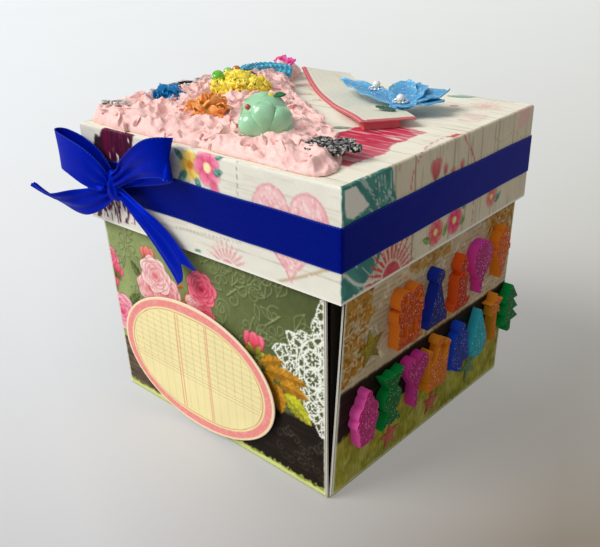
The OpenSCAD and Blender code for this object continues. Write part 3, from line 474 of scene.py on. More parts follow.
def heart_outline(x, y, wide, high):
    t = np.linspace(0, 2 * math.pi, 48, endpoint=False)
    hx = np.sin(t) ** 3
    hy = (13 * np.cos(t) - 5 * np.cos(2 * t) - 2 * np.cos(3 * t) - np.cos(4 * t)) / 17
    return list(zip((x + wide / 2 * hx).tolist(), (y + high * (hy + 0.98) / 1.68).tolist()))


def paint_skirt_front(p):
    paint_boards(p, p.y - LID_TOP - LID_FLAT, 0.5)
    block = [(-52.2, 118.3), (-47.7, 122.6), (-31.2, 122.6), (-33.8, 112), (-36, 85.5), (-58.3, 81.8)]
    p.fill([(-55, 118.3), (-49, 118.3), (-52, 81.8), (-60.5, 81.8)], "#2a1b22", 2.5, 0.4, (1, 3))
    m = p.fill(block, PLUM, 1.8, 0.2, (1, 3))
    p.lay(m * (p.noise(1.1, 64, 3, (1, 6)) > 0.58) * 0.5, "#7c1440")
    drips = grain(p.x, p.y / 5, 0.9, 66, 3)
    p.lay(m * ease((drips - 0.36 - 0.012 * (p.y - 84)) * 9), "#ece6dc")
    small_flower(p, -1.6, 116, 5.6, 6, "#f0b93c", "#ffe99a", "#d98a2c", 1)
    small_flower(p, 6.9, 116.6, 6.6, 5, "#e2386e", "#ffb6c8", "#fff0b8", 2)
    p.petal(9.4, 112.4, 5.4, 3.8, 280, "#e04a78", "#f8a0b8")
    for a, b, w in (((-3.6, 113.6), (-8.6, 108.6), 3), ((9.8, 115), (14.4, 116.6), 2.8),
                    ((-5, 117.6), (-9.4, 120.6), 2.6), ((1, 112), (3, 107.4), 2.6), ((11, 120.8), (15, 122.3), 2.2)):
        p.leaf(a, b, w, TEAL, PALE_MINT)
    p.disc(-23.3, 121, 0.7, CORAL)
    p.disc(-13, 118.6, 0.6, TEAL)
    p.stroke([(21.1, 121.6), (20.6, 108)], 0.6, "#7d8a80", 0.7, dash=1.7)
    outline = heart_outline(43.2, 84.4, 31.6, 32.2)
    m = p.fill(outline, "#efc0c2", 1.4)
    p.lay(m * ease(p.noise(3.4, 71, 4) * 6 - 2.9) * 0.5, "#e3949c")
    p.lay(m * (p.noise(1.1, 72, 3) > 0.6) * 0.6, "#f6e6df")
    p.stroke(outline + outline[:1], 0.7, "#dd8f98", 0.8, 0.3)
    inner = heart_outline(43.2, 89.5, 22, 22)
    p.stroke(inner + inner[:1], 0.6, "#f3e6df", 0.8, dash=2.2)
    p.burst(13.9, 81.6, 3.2, 10.5, "#e08a94", 22, 180)
    p.stroke(smooth_path([(36.3, 82.7), (48, 88), (59.6, 94.2)], 12), 1.0, TWINE, 0.7, 0.3)
    p.stroke([(-12.2, 90.4), (22.1, 92.8)], 0.5, "#a08a80", 0.6, dash=2)
    p.leaf((-3.5, 81.8), (0.6, 84.6), 2.4, TEAL, PALE_MINT)
    p.fill([(-30, 88), (-22, 91), (-20, 84), (-29, 82)], "#e7c9c4", 3, 0.45)
    p.stroke(smooth_path([(-62, 104), (-60, 94), (-62, 84)], 8), 1.1, "#c9a6a0", 0.5, 0.3)


def paint_skirt_right(p):
    # The right skirt's sheet is painted darker and warmer than the same sheet elsewhere: painted shade on the side
    # turned away from the lamp.
    p.rgb = p.rgb * (0.95, 0.91, 0.84)
    paint_boards(p, p.x, 1.3)
    m = p.fill([(-66, 122.6), (-38, 121.8), (-34, 106), (-44, 91), (-53, 84), (-66, 83)], TEAL, 2.4, 0.22, (1, 3))
    p.lay(m * ease(p.noise(4, 81, 3) * 5 - 2.2) * 0.5, "#2f6d68")
    p.lay(m * (abs(grain(p.x + 0.7 * p.y, p.y / 8, 2.6, 83, 2) - 0.5) < 0.02) * 0.6, CHALK)
    p.fill([(-62.8, 120.3), (-57.1, 120.2), (-51.1, 113.6), (-49.5, 112), (-58, 110), (-61.9, 111.4)], CHALK, 0.8)
    p.stroke(smooth_path([(-62.6, 93), (-54, 85.9), (-41, 84.2)], 12), 1.2, CHALK, 0.9, 0.25)
    for k in range(7):
        p.stroke([(-47 + 1.7 * k, 120), (-43 + 1.2 * k, 96)], 0.5, CHALK, 0.8, 0.5)
    p.burst(-36.5, 82.5, 5.4, 15, "#c9404c", 26, 180, 0.95)
    arc = [(-28, 90), (-26.5, 107.2), (-25.7, 114.7), (-22.8, 119.2), (-17.6, 123.2)]
    p.stroke(smooth_path(arc, 16), 0.75, CORAL, 0.9, dash=2.1)
    arc = [(8.4, 122), (8.6, 119.8), (15.1, 112.6), (16.8, 108.6), (18.7, 89.3), (17.6, 81.5)]
    p.stroke(smooth_path(arc, 18), 0.75, CORAL, 0.9, dash=2.1)
    for side in (-20, 20, 0):
        p.petal(-10.7, 109.8, 7.4, 3, 90 + side, "#c24a52", "#ea8f8c", side)
    for x, y in ((7.5, 110.4), (1.2, 109.2), (-4.2, 111.6)):
        p.petal(x, y - 1.6, 3.6, 2.1, 90, "#c24a52", "#ea8f8c")
        p.stroke([(x, y - 1.6), (x - 0.6, y - 6)], 0.4, "#6c8f78", 0.8)
    p.stroke(smooth_path([(-10.7, 110), (-9, 104), (-11, 98)], 8), 0.5, "#6c8f78", 0.9)
    p.leaf((-10.4, 104.5), (-13.6, 109.6), 2.4, TEAL, PALE_MINT)
    p.leaf((1, 103), (5.4, 106.6), 2.4, TEAL, PALE_MINT)
    small_flower(p, 4.6, 90, 5.4, 6, "#d2244e", "#f7879c", "#f3dc8c", 3)
    small_flower(p, -8.6, 89.4, 5.0, 6, "#cf3448", "#f59a92", "#f3dc8c", 4)
    for a, b in (((-12, 87), (-17.4, 89.4)), ((9, 87), (12.6, 90)), ((-3, 86), (-1, 91)), ((9.6, 93), (13, 96))):
        p.leaf(a, b, 2.8, "#7da04e", "#cfe0a4")
    small_flower(p, 33, 91, 4.2, 5, "#d0625c", "#f0a39a", "#f3dc8c", 5)
    p.leaf((36, 88), (41, 91), 2.6, TEAL, PALE_MINT)
    p.stroke(smooth_path([(30, 116), (38, 112), (48, 114), (57, 108)], 14), 0.6, TWINE, 0.55, dash=2.4)
    p.fill([(47, 122.6), (60, 122.6), (61, 116), (52, 113)], "#e6b9b4", 2.5, 0.4, strength=0.8)


def paint_skirt_plain(p, across):
    """The sides away from view carry the same sheet: boards, a worn patch and small sprigs."""
    paint_boards(p, across)
    p.fill([(-50, 122.6), (-30, 122.6), (-27, 104), (-33, 90), (-54, 86)], TEAL, 2.4, 0.32, (1, 3))
    outline = heart_outline(30, 86, 29, 30)
    m = p.fill(outline, "#efc0c2", 1.4)
    p.lay(m * ease(p.noise(3.4, 71, 4) * 6 - 2.9) * 0.5, "#e3949c")
    p.stroke(outline + outline[:1], 0.7, "#dd8f98", 0.8, 0.3)
    small_flower(p, -4, 113, 5.6, 5, "#c94f6c", "#ee9aac", "#f2d88a", 2)
    small_flower(p, 4.4, 108.4, 4.6, 6, "#d6a43a", "#f2cf6a", "#b5742c", 1)
    p.leaf((-8, 110), (-13, 106), 2.8, TEAL, PALE_MINT)
    p.burst(56, 84, 3.6, 12, CORAL, 24, 180)
    p.burst(-14, 82, 3.2, 10, "#d98c90", 22, 180)


def paint_lid_top(p):
    # The lid's top is painted a little lighter than the same sheet on the skirt: painted light on the face turned up to
    # the lamp.
    p.rgb = p.rgb * (1.06, 1.05, 1.03)
    paint_boards(p, p.y, 0.7)
    patch = [(26.4, -17.8), (26.9, -5.5), (30, 4), (51.8, 2.2), (50.5, -18.2), (54.1, -29), (52.4, -46.8),
             (40, -40), (30, -30)]
    m = p.fill(patch, "#d23c58", 3, 0.24, (6, 1))
    p.lay(m * ease(p.noise(1.2, 91, 3, (9, 1)) * 6 - 2.9) * 0.5, "#a8203c")
    p.lay(m * ease((p.noise(0.9, 92, 3, (14, 1)) - 0.56) * 9) * 0.75, "#efc6c2")
    p.lay(m * ease((p.x - 42) / 14) * 0.35, "#e8d4cc")
    p.leaf((27.6, 57.3), (39.1, 62.6), 5.4, "#9fc4b8", "#dfeee6")
    p.stroke([(39, 62), (46, 61), (56, 62.4)], 0.4, "#56756a", 0.8)
    p.petal(37.6, 42.6, 3.4, 2.4, 30, "#d98c90", "#efb9b6")
    p.leaf((20, -12.6), (27, -8.2), 4, "#8fa694", "#c9d6c8")
    p.fill([(60.6, 2), (62.9, 2), (62.9, 8), (61, 7)], CORAL, 1)
    for x, y, r in ((-22, 25, 3), (-11.5, 18.7, 3.4), (-3, 33, 2.6)):
        for k in range(5):
            p.stroke([(x, y), (x + r * math.cos(k), y + r * math.sin(k))], 0.6, "#b3a655", 0.7)
    arc = smooth_path([(62.6, -17.6), (60.6, -10), (60, -3), (60.6, 4), (62.6, 8.4)], 16)
    p.stroke(arc, 0.7, CORAL, 0.8, dash=2.1)
    p.burst(50, 50, 2.6, 8, "#dfa7a2", 20, 360, 0.6)
    p.stroke(smooth_path([(10, 58), (-6, 54), (-20, 60)], 12), 0.5, TWINE, 0.5, dash=2.4)
    small_flower(p, -36, 56.5, 4.2, 5, "#c98f96", "#ecc6c4", "#efe0a8", 6)
    p.fill([(48, 36), (58, 38), (60, 26), (52, 22)], "#ead0c8", 3, 0.42, (4, 1), 0.8)


def paint_oval(p):
    """A salmon rim, a fine rule inside it and a ledger of fine lines."""
    rim = 1 - np.hypot(p.x / OVAL_A, p.y / OVAL_B)
    near = rim * np.hypot(OVAL_A * p.x, OVAL_B * p.y) / (np.hypot(p.x, p.y) + 1e-6)
    p.rgb = rgb("#f3e6ac") * np.ones((len(p.x), 1))
    p.shade(0.97 + 0.06 * p.noise(12, 1, 3))
    field = near > 6.4
    for y in np.arange(-3.2, 26, 2.55):
        p.lay(within(abs(p.y - y) - 0.09, 0.36) * field * 0.4, "#a08048")
    for x in np.arange(-41, 42, 4.6):
        p.lay(within(abs(p.x - x) - 0.09, 0.36) * field * np.where(p.y > -3.2, 0.5, 0.28), "#b08050")
    for x, low in ((-8.6, 0.9), (-7.1, 0.9), (8.6, 0.75), (9.6, 0.75)):
        p.lay(within(abs(p.x - x) - 0.18, 0.36) * field * low, "#dc7462")
    for y, low in ((-4.6, 0.45), (-6.2, 0.35)):
        p.lay(within(abs(p.y - y) - 0.12, 0.36) * field * low, "#b06a50")
    p.lay(within(abs(near - 5.7) - 0.13, 0.36) * 0.85, "#b8603c")
    p.lay(within(abs(near - 2.9) - 1.75, 0.4), "#ee8f8c")
    p.lay(within(abs(near - 2.9) - 1.75, 0.4) * (p.noise(0.9, 7, 2) > 0.6) * 0.35, "#f9bdb4")
    p.lay(within(near - 0.7, 0.4), "#f8dcc0")


def paint_tag(p):
    """The tag's face: cream with a faint map-like wash, ruled lines and a red margin."""
    p.rgb = rgb("#e6e3d2") * np.ones((len(p.x), 1))
    p.shade(0.96 + 0.07 * p.noise(9, 1, 4))
    p.lay((p.noise(13, 3, 3) > 0.58) * 0.25, "#cfd3bd")
    for y in np.arange(3, 20, 2.6):
        p.lay(within(abs(p.y - y) - 0.08, 0.5) * 0.14, "#9aa096")
    p.lay(within(p.y - 1.3) * 0.9, "#d8606a")
    p.lay(within(90.8 - p.x) * 0.9, "#d8606a")
    p.stroke([(8, 14), (26, 17.5), (44, 15), (64, 18)], 0.5, "#b9a48c", 0.6, 0.3)
    p.lay(within(abs(p.y - 2.1) - 0.2) * 0.8, "#f4f1e6")


# ---- shapes ----

def moved(matrix, points):
    m = np.array(matrix)
    return np.asarray(points) @ m[:3, :3].T + m[:3, 3]


def shift(x, y, z):
    return Matrix.Translation((x, y, z))


def turn(axis, degrees):
    return Matrix.Rotation(math.radians(degrees), 4, axis)


ON_LID = turn("Z", TWIST) @ shift(0, 0, LID_TOP)


def grid(n, m, wrap_n=False, wrap_m=False):
    """Quads between n rows of m points, closed on themselves where they wrap."""
    i = np.arange(n if wrap_n else n - 1)[:, None]
    j = np.arange(m if wrap_m else m - 1)[None, :]
    i2, j2 = (i + 1) % n, (j + 1) % m
    return np.stack([i * m + j, i * m + j2, i2 * m + j2, i2 * m + j], -1).reshape(-1, 4).tolist()


def fanned(rings, around, end_first=False):
    """Faces between rings of points. Two points follow the rings, each the middle of a fan that closes an end:
    the start's and then the end's, or the other way round with end_first."""
    n = rings * around
    faces = grid(rings, around, False, True)
    for j in range(around):
        k = (j + 1) % around
        start = [n + end_first, k, j]
        end = [n + (not end_first), n - around + j, n - around + k]
        faces += [end, start] if end_first else [start, end]
    return faces


def rim_of(n, m, first=0):
    loop = list(range(m - 1)) + [i * m + m - 1 for i in range(n - 1)]
    loop += [(n - 1) * m + j for j in range(m - 1, 0, -1)] + [i * m for i in range(n - 1, 0, -1)]
    return [first + v for v in loop]


def shell(front, rear, step=1):
    """A closed sheet: a fine front grid, a rear grid step times coarser, and the rim between."""
    n, m = front.shape[:2]
    rn, rm = rear.shape[:2]
    points = np.concatenate([front.reshape(-1, 3), rear.reshape(-1, 3)])
    faces = grid(n, m) + [f[::-1] for f in (np.array(grid(rn, rm)) + n * m).tolist()]
    fine, rough = rim_of(n, m), rim_of(rn, rm, n * m)
    for k, a in enumerate(rough):
        run = [fine[(k * step + i) % len(fine)] for i in range(step + 1)]
        faces += [[a, run[i + 1], run[i]] for i in range(step)]
        faces.append([a, rough[(k + 1) % len(rough)], run[-1]])
    return points, faces


def unit(v):
    return v / np.linalg.norm(v, axis=-1, keepdims=True)


def normals_of(p):
    along, across = np.gradient(p, axis=0), np.gradient(p, axis=1)
    n = np.cross(along, across)
    return n / (np.linalg.norm(n, axis=-1, keepdims=True) + 1e-12)


def thick(p, t):
    """A sheet of thickness t on both sides of a grid of points."""
    n = normals_of(p)
    return shell(p + n * t / 2, p - n * t / 2)


def lathe(profile, count):
    """A turned shape about Z from a profile of radius and height that starts and ends on the axis."""
    a = np.linspace(0, 2 * math.pi, count, endpoint=False)
    turned = np.array([q for q in profile if q[0] > 1e-6])
    r, z = turned[:, 0, None], turned[:, 1, None]
    ring = np.stack([r * np.cos(a), r * np.sin(a), z + 0 * a], -1).reshape(-1, 3)
    points = np.concatenate([ring, [[0, 0, profile[0][1]], [0, 0, profile[-1][1]]]])
    return points, fanned(len(turned), count)


def ball(r, x, y, z, count, flat=1.0):
    t = np.linspace(0, math.pi, count // 2 + 1)
    points, faces = lathe(list(zip((r * np.sin(t)).tolist(), (-r * flat * np.cos(t)).tolist())), count)
    return points + [x, y, z], faces


def rod(path, radius, sides):
    """A closed rod along a path; radius is a number, or one for each point and side."""
    along = unit(np.gradient(path, axis=0))
    up = np.where(abs(along[:, 2:]) > 0.8, [[1.0, 0, 0]], [[0, 0, 1.0]])
    u = unit(np.cross(along, up))
    v = np.cross(along, u)
    a = np.linspace(0, 2 * math.pi, sides, endpoint=False)
    spokes = u[:, None] * np.cos(a)[:, None] + v[:, None] * np.sin(a)[:, None]
    ring = path[:, None] + np.asarray(radius)[..., None] * spokes
    return np.concatenate([ring.reshape(-1, 3), path[[0, -1]]]), fanned(len(path), sides)


def together(*parts):
    points, faces, first = [], [], 0
    for p, f in parts:
        points.append(np.asarray(p))
        faces += [[first + v for v in face] for face in f]
        first += len(p)
    return np.concatenate(points), faces


def closed_mesh(name, shape):
    """A smooth mesh from points in millimetres and faces, which are turned outward."""
    mesh = bpy.data.meshes.new(name)
    mesh.from_pydata((np.asarray(shape[0]) * MM).tolist(), [], shape[1])
    bm = bmesh.new()
    bm.from_mesh(mesh)
    bmesh.ops.recalc_face_normals(bm, faces=bm.faces)
    bm.to_mesh(mesh)
    bm.free()
    mesh.shade_smooth()
    return mesh


def piece(name, shape, finish, body, stands_for=(), colours=None, run=None, sharp=40):
    """Makes a closed mesh an object of the model, its points given in millimetres."""
    mesh = closed_mesh(name, shape)
    mesh.materials.append(finish)
    if colours is not None:
        full = np.ones((len(mesh.vertices), 4))
        full[:, :3] = linear(rgb("#e9e4d6"))
        full[:len(colours), :3] = linear(colours)
        layer = mesh.color_attributes.new("print", "FLOAT_COLOR", "POINT")
        layer.data.foreach_set("color", full.ravel())
    if run is not None:
        layer = mesh.attributes.new("run", "FLOAT_VECTOR", "POINT")
        layer.data.foreach_set("vector", np.asarray(run, float).ravel())
    mesh.set_sharp_from_angle(angle=math.radians(sharp))
    thing = add(name, mesh)
    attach(thing, body)
    if stands_for:
        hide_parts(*stands_for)
    return thing


# ---- finishes ----

class Value:
    """A shader socket that can stand in a sum."""

    def __init__(self, tree, socket):
        self.tree, self.socket = tree, socket

    def sum(self, operation, a, b):
        return self.tree.node("ShaderNodeMath", {"operation": operation}, {0: a, 1: b})

    def __add__(self, other): return self.sum("ADD", self, other)
    def __radd__(self, other): return self.sum("ADD", other, self)
    def __sub__(self, other): return self.sum("SUBTRACT", self, other)
    def __rsub__(self, other): return self.sum("SUBTRACT", other, self)
    def __mul__(self, other): return self.sum("MULTIPLY", self, other)
    def __rmul__(self, other): return self.sum("MULTIPLY", other, self)
    def __truediv__(self, other): return self.sum("DIVIDE", self, other)
    def __rtruediv__(self, other): return self.sum("DIVIDE", other, self)
    def __abs__(self): return self.tree.node("ShaderNodeMath", {"operation": "ABSOLUTE"}, {0: self})
    def __gt__(self, other): return self.sum("GREATER_THAN", self, other)
    def __lt__(self, other): return self.sum("LESS_THAN", self, other)


class Finish:
    """A material, built node by node."""

    def __init__(self, name):
        self.material = bpy.data.materials.new(name)
        self.material.use_nodes = True
        self.tree = self.material.node_tree
        self.tree.nodes.clear()

    def node(self, kind, settings=None, sockets=None, out=0):
        n = self.tree.nodes.new(kind)
        for key, value in (settings or {}).items():
            if key == "stops":
                ramp = n.color_ramp
                while len(ramp.elements) < len(value):
                    ramp.elements.new(0.5)
                for stop, (place, colour) in zip(ramp.elements, value):
                    stop.position, stop.color = place, colour
            else:
                setattr(n, key, value)
        for key, value in (sockets or {}).items():
            if isinstance(value, Value):
                self.tree.links.new(value.socket, n.inputs[key])
            else:
                n.inputs[key].default_value = value
        return Value(self, n.outputs[out])

    def place(self):
        return self.node("ShaderNodeTexCoord", out="Object")

    def noise(self, size, detail=3.0, rough=0.6, where=None):
        return self.node("ShaderNodeTexNoise", None, {
            "Vector": where or self.place(), "Scale": 1000 / size, "Detail": detail, "Roughness": rough}, "Fac")

    def cells(self, size):
        return self.node("ShaderNodeTexVoronoi", None, {"Vector": self.place(), "Scale": 1000 / size}, "Color")

    def ramp(self, value, *stops):
        return self.node("ShaderNodeValToRGB", {"stops": stops}, {"Fac": value})

    def mix(self, share, a, b, blend="MIX"):
        return self.node("ShaderNodeMix", {"data_type": "RGBA", "blend_type": blend}, {0: share, 6: a, 7: b}, 2)

    def clip(self, value):
        return self.node("ShaderNodeClamp", None, {"Value": value})

    def attribute(self, name, out="Color"):
        return self.node("ShaderNodeAttribute", {"attribute_name": name}, None, out)

    def split(self, vector, part):
        return self.node("ShaderNodeSeparateXYZ", None, {0: vector}, part)

    def bump(self, height, distance, strength=1.0):
        return self.node("ShaderNodeBump", None, {
            "Height": height, "Distance": distance * MM, "Strength": strength}, "Normal")

    def surface(self, **sockets):
        names = {key.replace("_", " "): value for key, value in sockets.items()}
        shader = self.node("ShaderNodeBsdfPrincipled", None, names)
        self.node_out(shader)
        return self.material

    def node_out(self, shader):
        end = self.tree.nodes.new("ShaderNodeOutputMaterial")
        self.tree.links.new(shader.socket, end.inputs["Surface"])


def paper_finish(name, rough=0.62):
    """Printed paper: its own colours, with fibre, a soft sheen and a faint tooth."""
    f = Finish(name)
    fibre = f.noise(0.5, 4, 0.7)
    speckle = f.ramp(fibre, (0.3, tint("#b9b4a6")), (0.7, tint("#ffffff")))
    colour = f.mix(0.16, f.attribute("print"), speckle, "MULTIPLY")
    return f.surface(Base_Color=colour, Roughness=rough - 0.12 + 0.25 * f.noise(3), Specular_IOR_Level=0.12,
                     Normal=f.bump(fibre * 0.5 + f.noise(4), 0.12, 0.35))


def card_finish(name, dark, light, size=0.8, edge=None):
    """Plain card with a fibrous mottle; cut ends and the worn base fold show edge where it is given."""
    f = Finish(name)
    fibre = f.noise(size, 5, 0.7)
    colour = f.mix(f.clip(fibre * 1.6 - 0.3), tint(dark), tint(light))
    if edge:
        normal = f.node("ShaderNodeNewGeometry", out="True Normal")
        x, y = (abs(f.split(f.place(), k)) for k in (0, 1))
        nx, ny = (abs(f.split(normal, k)) for k in (0, 1))
        cut = (x > 0.0565) * (ny > 0.7) + (y > 0.0565) * (nx > 0.7)
        fold = (f.split(f.place(), 2) < 0.0019) * ((x > 0.0585) + (y > 0.0585))
        colour = f.mix(f.clip(cut), colour, tint(edge))
        colour = f.mix(f.clip(fold), colour, f.mix(fibre, tint("#8f9656"), tint("#d5d9a2")))
    return f.surface(Base_Color=colour, Roughness=0.6 + 0.2 * f.noise(2), Normal=f.bump(fibre, 0.15, 0.4))


def satin_finish(name, dark, light):
    """Royal blue satin: fine ribs across the ribbon, long soft highlights along the folds, a stitched edge."""
    f = Finish(name)
    run = f.attribute("run", "Vector")
    along, across = f.split(run, 0), f.split(run, 1)
    ribs = f.node("ShaderNodeMath", {"operation": "SINE"}, {0: along * 2 * math.pi / 0.42})
    stitch = f.node("ShaderNodeMath", {"operation": "SINE"}, {0: along * 2 * math.pi / 1.0})
    edge = f.clip((abs(across) - 7.0) * 6)
    slub = f.noise(1, 3, 0.6, where=f.node("ShaderNodeMapping", None, {"Vector": run, "Scale": (0.004, 0.0006, 1)}))
    colour = f.mix(f.clip(slub * 1.5 - 0.25), tint(dark), tint(light))
    colour = f.mix(edge * f.clip(stitch * 2) * 0.45, colour, tint("#4668cc"))
    return f.surface(Base_Color=colour, Metallic=0.3, Roughness=0.3 + 0.14 * slub, Specular_IOR_Level=0.08,
                     Specular_Tint=tint("#5a84ff"), Anisotropic=0.6,
                     Normal=f.bump(ribs * 0.4 + slub + edge * stitch, 0.05, 0.45))


def icing_finish():
    f = Finish("pink_icing")
    lumps = f.noise(3.2, 5, 0.6)
    colour = f.mix(f.clip(lumps * 1.8 - 0.5), tint("#fbc2bb"), tint("#ffdcd6"))
    return f.surface(Base_Color=colour, Roughness=0.46 + 0.2 * f.noise(1.2), Subsurface_Weight=0.22,
                     Subsurface_Radius=(0.004, 0.002, 0.0015), Subsurface_Scale=0.5,
                     Normal=f.bump(f.noise(0.7, 5, 0.65) + lumps, 0.4, 0.5))


def glitter_finish(name, side, face, grit=0.36, facing=(1, 0, 0), share=0.06):
    """Foam with matte cut sides and a glittered face, the way the face looks out."""
    f = Finish(name)
    normal = f.node("ShaderNodeNewGeometry", out="Normal")
    out = f.node("ShaderNodeVectorMath", {"operation": "DOT_PRODUCT"}, {0: normal, 1: facing}, "Value")
    mask = f.clip((out - 0.72) * 8)
    flakes = f.cells(grit)
    light, hue, lean = (f.split(flakes, k) for k in range(3))
    # A few of the brightest cells take a pale tint of the side colour, painted glints on the glitter; lighter cells
    # lean towards the side colour.
    bright = f.clip((light - (1 - share)) * 30)
    glow = f.clip((light - 0.62) * 4) * 0.5
    pale = tuple(0.7 * a + 0.3 for a in tint(side)[:3]) + (1.0,)
    body = f.mix(f.clip(hue * 0.25), tint(face), tint(side))
    shiny = f.mix(bright, f.mix(glow, body, tint(side)), pale)
    matte = f.mix(f.clip(f.noise(1.6, 4) * 1.4 - 0.2), tint(side), tuple(0.8 * v for v in tint(side)[:3]) + (1.0,))
    return f.surface(Base_Color=f.mix(mask, matte, shiny), Metallic=mask * (0.05 + 0.4 * bright),
                     Roughness=0.78 - mask * (0.3 + 0.2 * bright), Specular_IOR_Level=0.12,
                     Normal=f.bump((light + lean) * mask, 0.12, 0.6))


def foil_finish(name, base, light):
    f = Finish(name)
    flakes = f.cells(0.4)
    colour = f.mix(f.split(flakes, 0), tint(base), tint(light))
    return f.surface(Base_Color=colour, Metallic=0.65, Roughness=0.28 + 0.25 * f.split(flakes, 1),
                     Normal=f.bump(f.split(flakes, 2), 0.12, 0.6))


def silver_finish(name, dark="#4a4642", light="#eceae4", black=0.4):
    """Cast antique silver, tarnished black in random patches."""
    f = Finish(name)
    tarnish_and_highlight = f.noise(1.4, 5, 0.65)
    colour = f.ramp(tarnish_and_highlight, (black, tint(dark)), (black + 0.06, tint("#a8a59f")), (black + 0.12, tint(light)))
    return f.surface(Base_Color=colour, Metallic=0.6, Roughness=0.3 + 0.35 * f.noise(0.7),
                     Normal=f.bump(f.noise(0.8, 4), 0.25, 0.7))


def resin_finish(name, base, light, coat=0.6, rough=0.3, size=5.0):
    f = Finish(name)
    cloud = f.noise(size, 4)
    colour = f.mix(f.clip(cloud * 1.6 - 0.3), tint(base), tint(light))
    return f.surface(Base_Color=colour, Roughness=rough + 0.1 * cloud,
                     Coat_Weight=coat, Coat_Roughness=0.12, Subsurface_Weight=0.1,
                     Subsurface_Radius=(0.002, 0.002, 0.002), Subsurface_Scale=0.4,
                     Normal=f.bump(f.noise(1.3, 3), 0.08, 0.3))


def petal_finish(name, dark, light, sparkle=0.0, rough=0.55, run=False):
    """Dyed paper petals whose colour wanders at random between dark and light, dusted with glitter where sparkle is
    set.
    """
    f = Finish(name)
    veil = f.noise(2.2, 5, 0.6)
    share = f.clip(veil * 1.7 - 0.35)
    if run:
        # Where run is set, its third value adds painted shade and light to the petals.
        share = f.clip(share * 0.5 + f.split(f.attribute("run", "Vector"), 2) * 0.6)
    colour = f.mix(share, tint(dark), tint(light))
    if sparkle:
        # The brightest glitter cells are painted near-white: painted glints.
        spark = f.clip((f.split(f.cells(0.45), 0) - (1 - sparkle)) * 30)
        colour = f.mix(spark, colour, tint("#f4fbff"))
        shine = {"Roughness": rough - 0.25 * spark, "Metallic": spark * 0.5}
    else:
        shine = {"Roughness": rough + 0.1 * veil}
    return f.surface(Base_Color=colour, Normal=f.bump(f.noise(0.8, 3) + veil, 0.18, 0.5), **shine)


# ---- floor, lamps ----

def floor_and_light():
    f = Finish("studio_floor")
    where = f.place()
    x, y = f.split(where, 0), f.split(where, 1)
    # The floor's colour is painted light: cool near-white far off and to the left, falling to a darker warm grey near
    # the box and to the right, a painted falloff and painted shade.
    away = f.node("ShaderNodeMath", {"operation": "MAXIMUM"}, {0: x * -0.68 + y * 0.73 + 0.305, 1: 0.12})
    side = f.clip((x * 0.73 + y * 0.68) / away * 1.25 + 0.5)
    near = f.clip(0.22 / away - 0.11)
    colour = f.mix(near, f.mix(side, tint("#f8fcff"), tint("#e6e8e5")), f.mix(side, tint("#d0d0d2"), tint("#8a8073")))
    colour = f.mix(0.1 * f.noise(160, 2), colour, tint("#cfc8bc"))
    # Camera, glossy and transmission rays see the floor half as a glow of that painted colour: painted brightness.
    glow = f.node("ShaderNodeEmission", None, {"Color": colour, "Strength": 1.0}, "Emission")
    matte = f.node("ShaderNodeBsdfPrincipled", None, {"Base Color": colour, "Roughness": 0.7 + 0.1 * f.noise(20)})
    path = f.tree.nodes.new("ShaderNodeLightPath")
    seen = f.clip(Value(f, path.outputs["Is Camera Ray"]) + Value(f, path.outputs["Is Glossy Ray"])
                  + Value(f, path.outputs["Is Transmission Ray"]))
    f.node_out(f.node("ShaderNodeMixShader", None, {"Fac": seen * 0.5, 1: matte, 2: glow}))
    mesh = bpy.data.meshes.new("floor")
    half = 6.0
    mesh.from_pydata([(-half, -half, 0), (half, -half, 0), (half, half, 0), (-half, half, 0)], [], [(0, 1, 2, 3)])
    mesh.materials.append(f.material)
    floor = add("floor", mesh)
    lamp = bpy.data.lights.new("window", "SUN")
    lamp.energy, lamp.angle, lamp.color = 2.75, 0.6, (1.0, 0.985, 0.95)
    sun = add("window", lamp)
    sun.rotation_euler = Vector((-0.42, -0.6, 0.68)).to_track_quat("Z", "Y").to_euler()
    world = bpy.data.worlds.new("room")
    world.use_nodes = True
    back = world.node_tree.nodes["Background"]
    back.inputs["Color"].default_value = (0.95, 0.97, 1.0, 1.0)
    back.inputs["Strength"].default_value = 0.43
    bpy.context.scene.world = world
    bpy.context.scene.view_settings.view_transform = "Standard"


floor_and_light()

# ---- box walls ----

def rise(z):
    """How far up the wall z is, from 0 at the fold to 1 at the top."""
    return np.maximum(z - FOLD_Z, 0) / (BOX_H - FOLD_Z)


def wall_point(k, u, z, d):
    """Points of wall k: u along it, z up, and d out from the middle of the box at the fold."""
    a = np.radians(90 * k + TWIST * rise(z))
    v = d + FLARE * rise(z)
    return np.stack([u * np.cos(a) + v * np.sin(a), u * np.sin(a) - v * np.cos(a), z + 0 * u], -1)


def wall_end(k, z, side):
    """Where wall k ends at its left (side -1) or right (side 1); its cut ends run askew."""
    skew = {FRONT: -2.7, RIGHT: 2.8}.get(k, 0.0)
    trim = 0.0 if k in (FRONT, RIGHT) else 2.4
    return side * WALL_END + (skew - side * trim) * rise(z)


def wall_paper(name, k, node, paint, spacing):
    step = 8
    n = int(PRINT_W / spacing / step) * step + 1
    z = np.linspace(1.6, BOX_H - 1, n)[:, None]
    t = np.linspace(0, 1, n)[None, :]
    a, b = wall_end(k, z, -1) + 0.6, wall_end(k, z, 1) - 0.6
    u, z = a + (b - a) * t, z + 0 * t
    front = wall_point(k, u, z, BOX_W / 2)
    rear = wall_point(k, u, z, BOX_W / 2 - PAPER_T)[::step, ::step]
    p = Print(u.ravel(), z.ravel(), CREAM, k)
    paint(p)
    rim = (np.minimum(t, 1 - t) * (b - a)).ravel()
    p.lay(within(rim - 0.35 - 0.3 * p.noise(2, 99), 0.5), "#ebe8dc")
    piece(name, shell(front, rear, step), paper_finish(name + "_sheet"), "box", (node,), p.rgb)


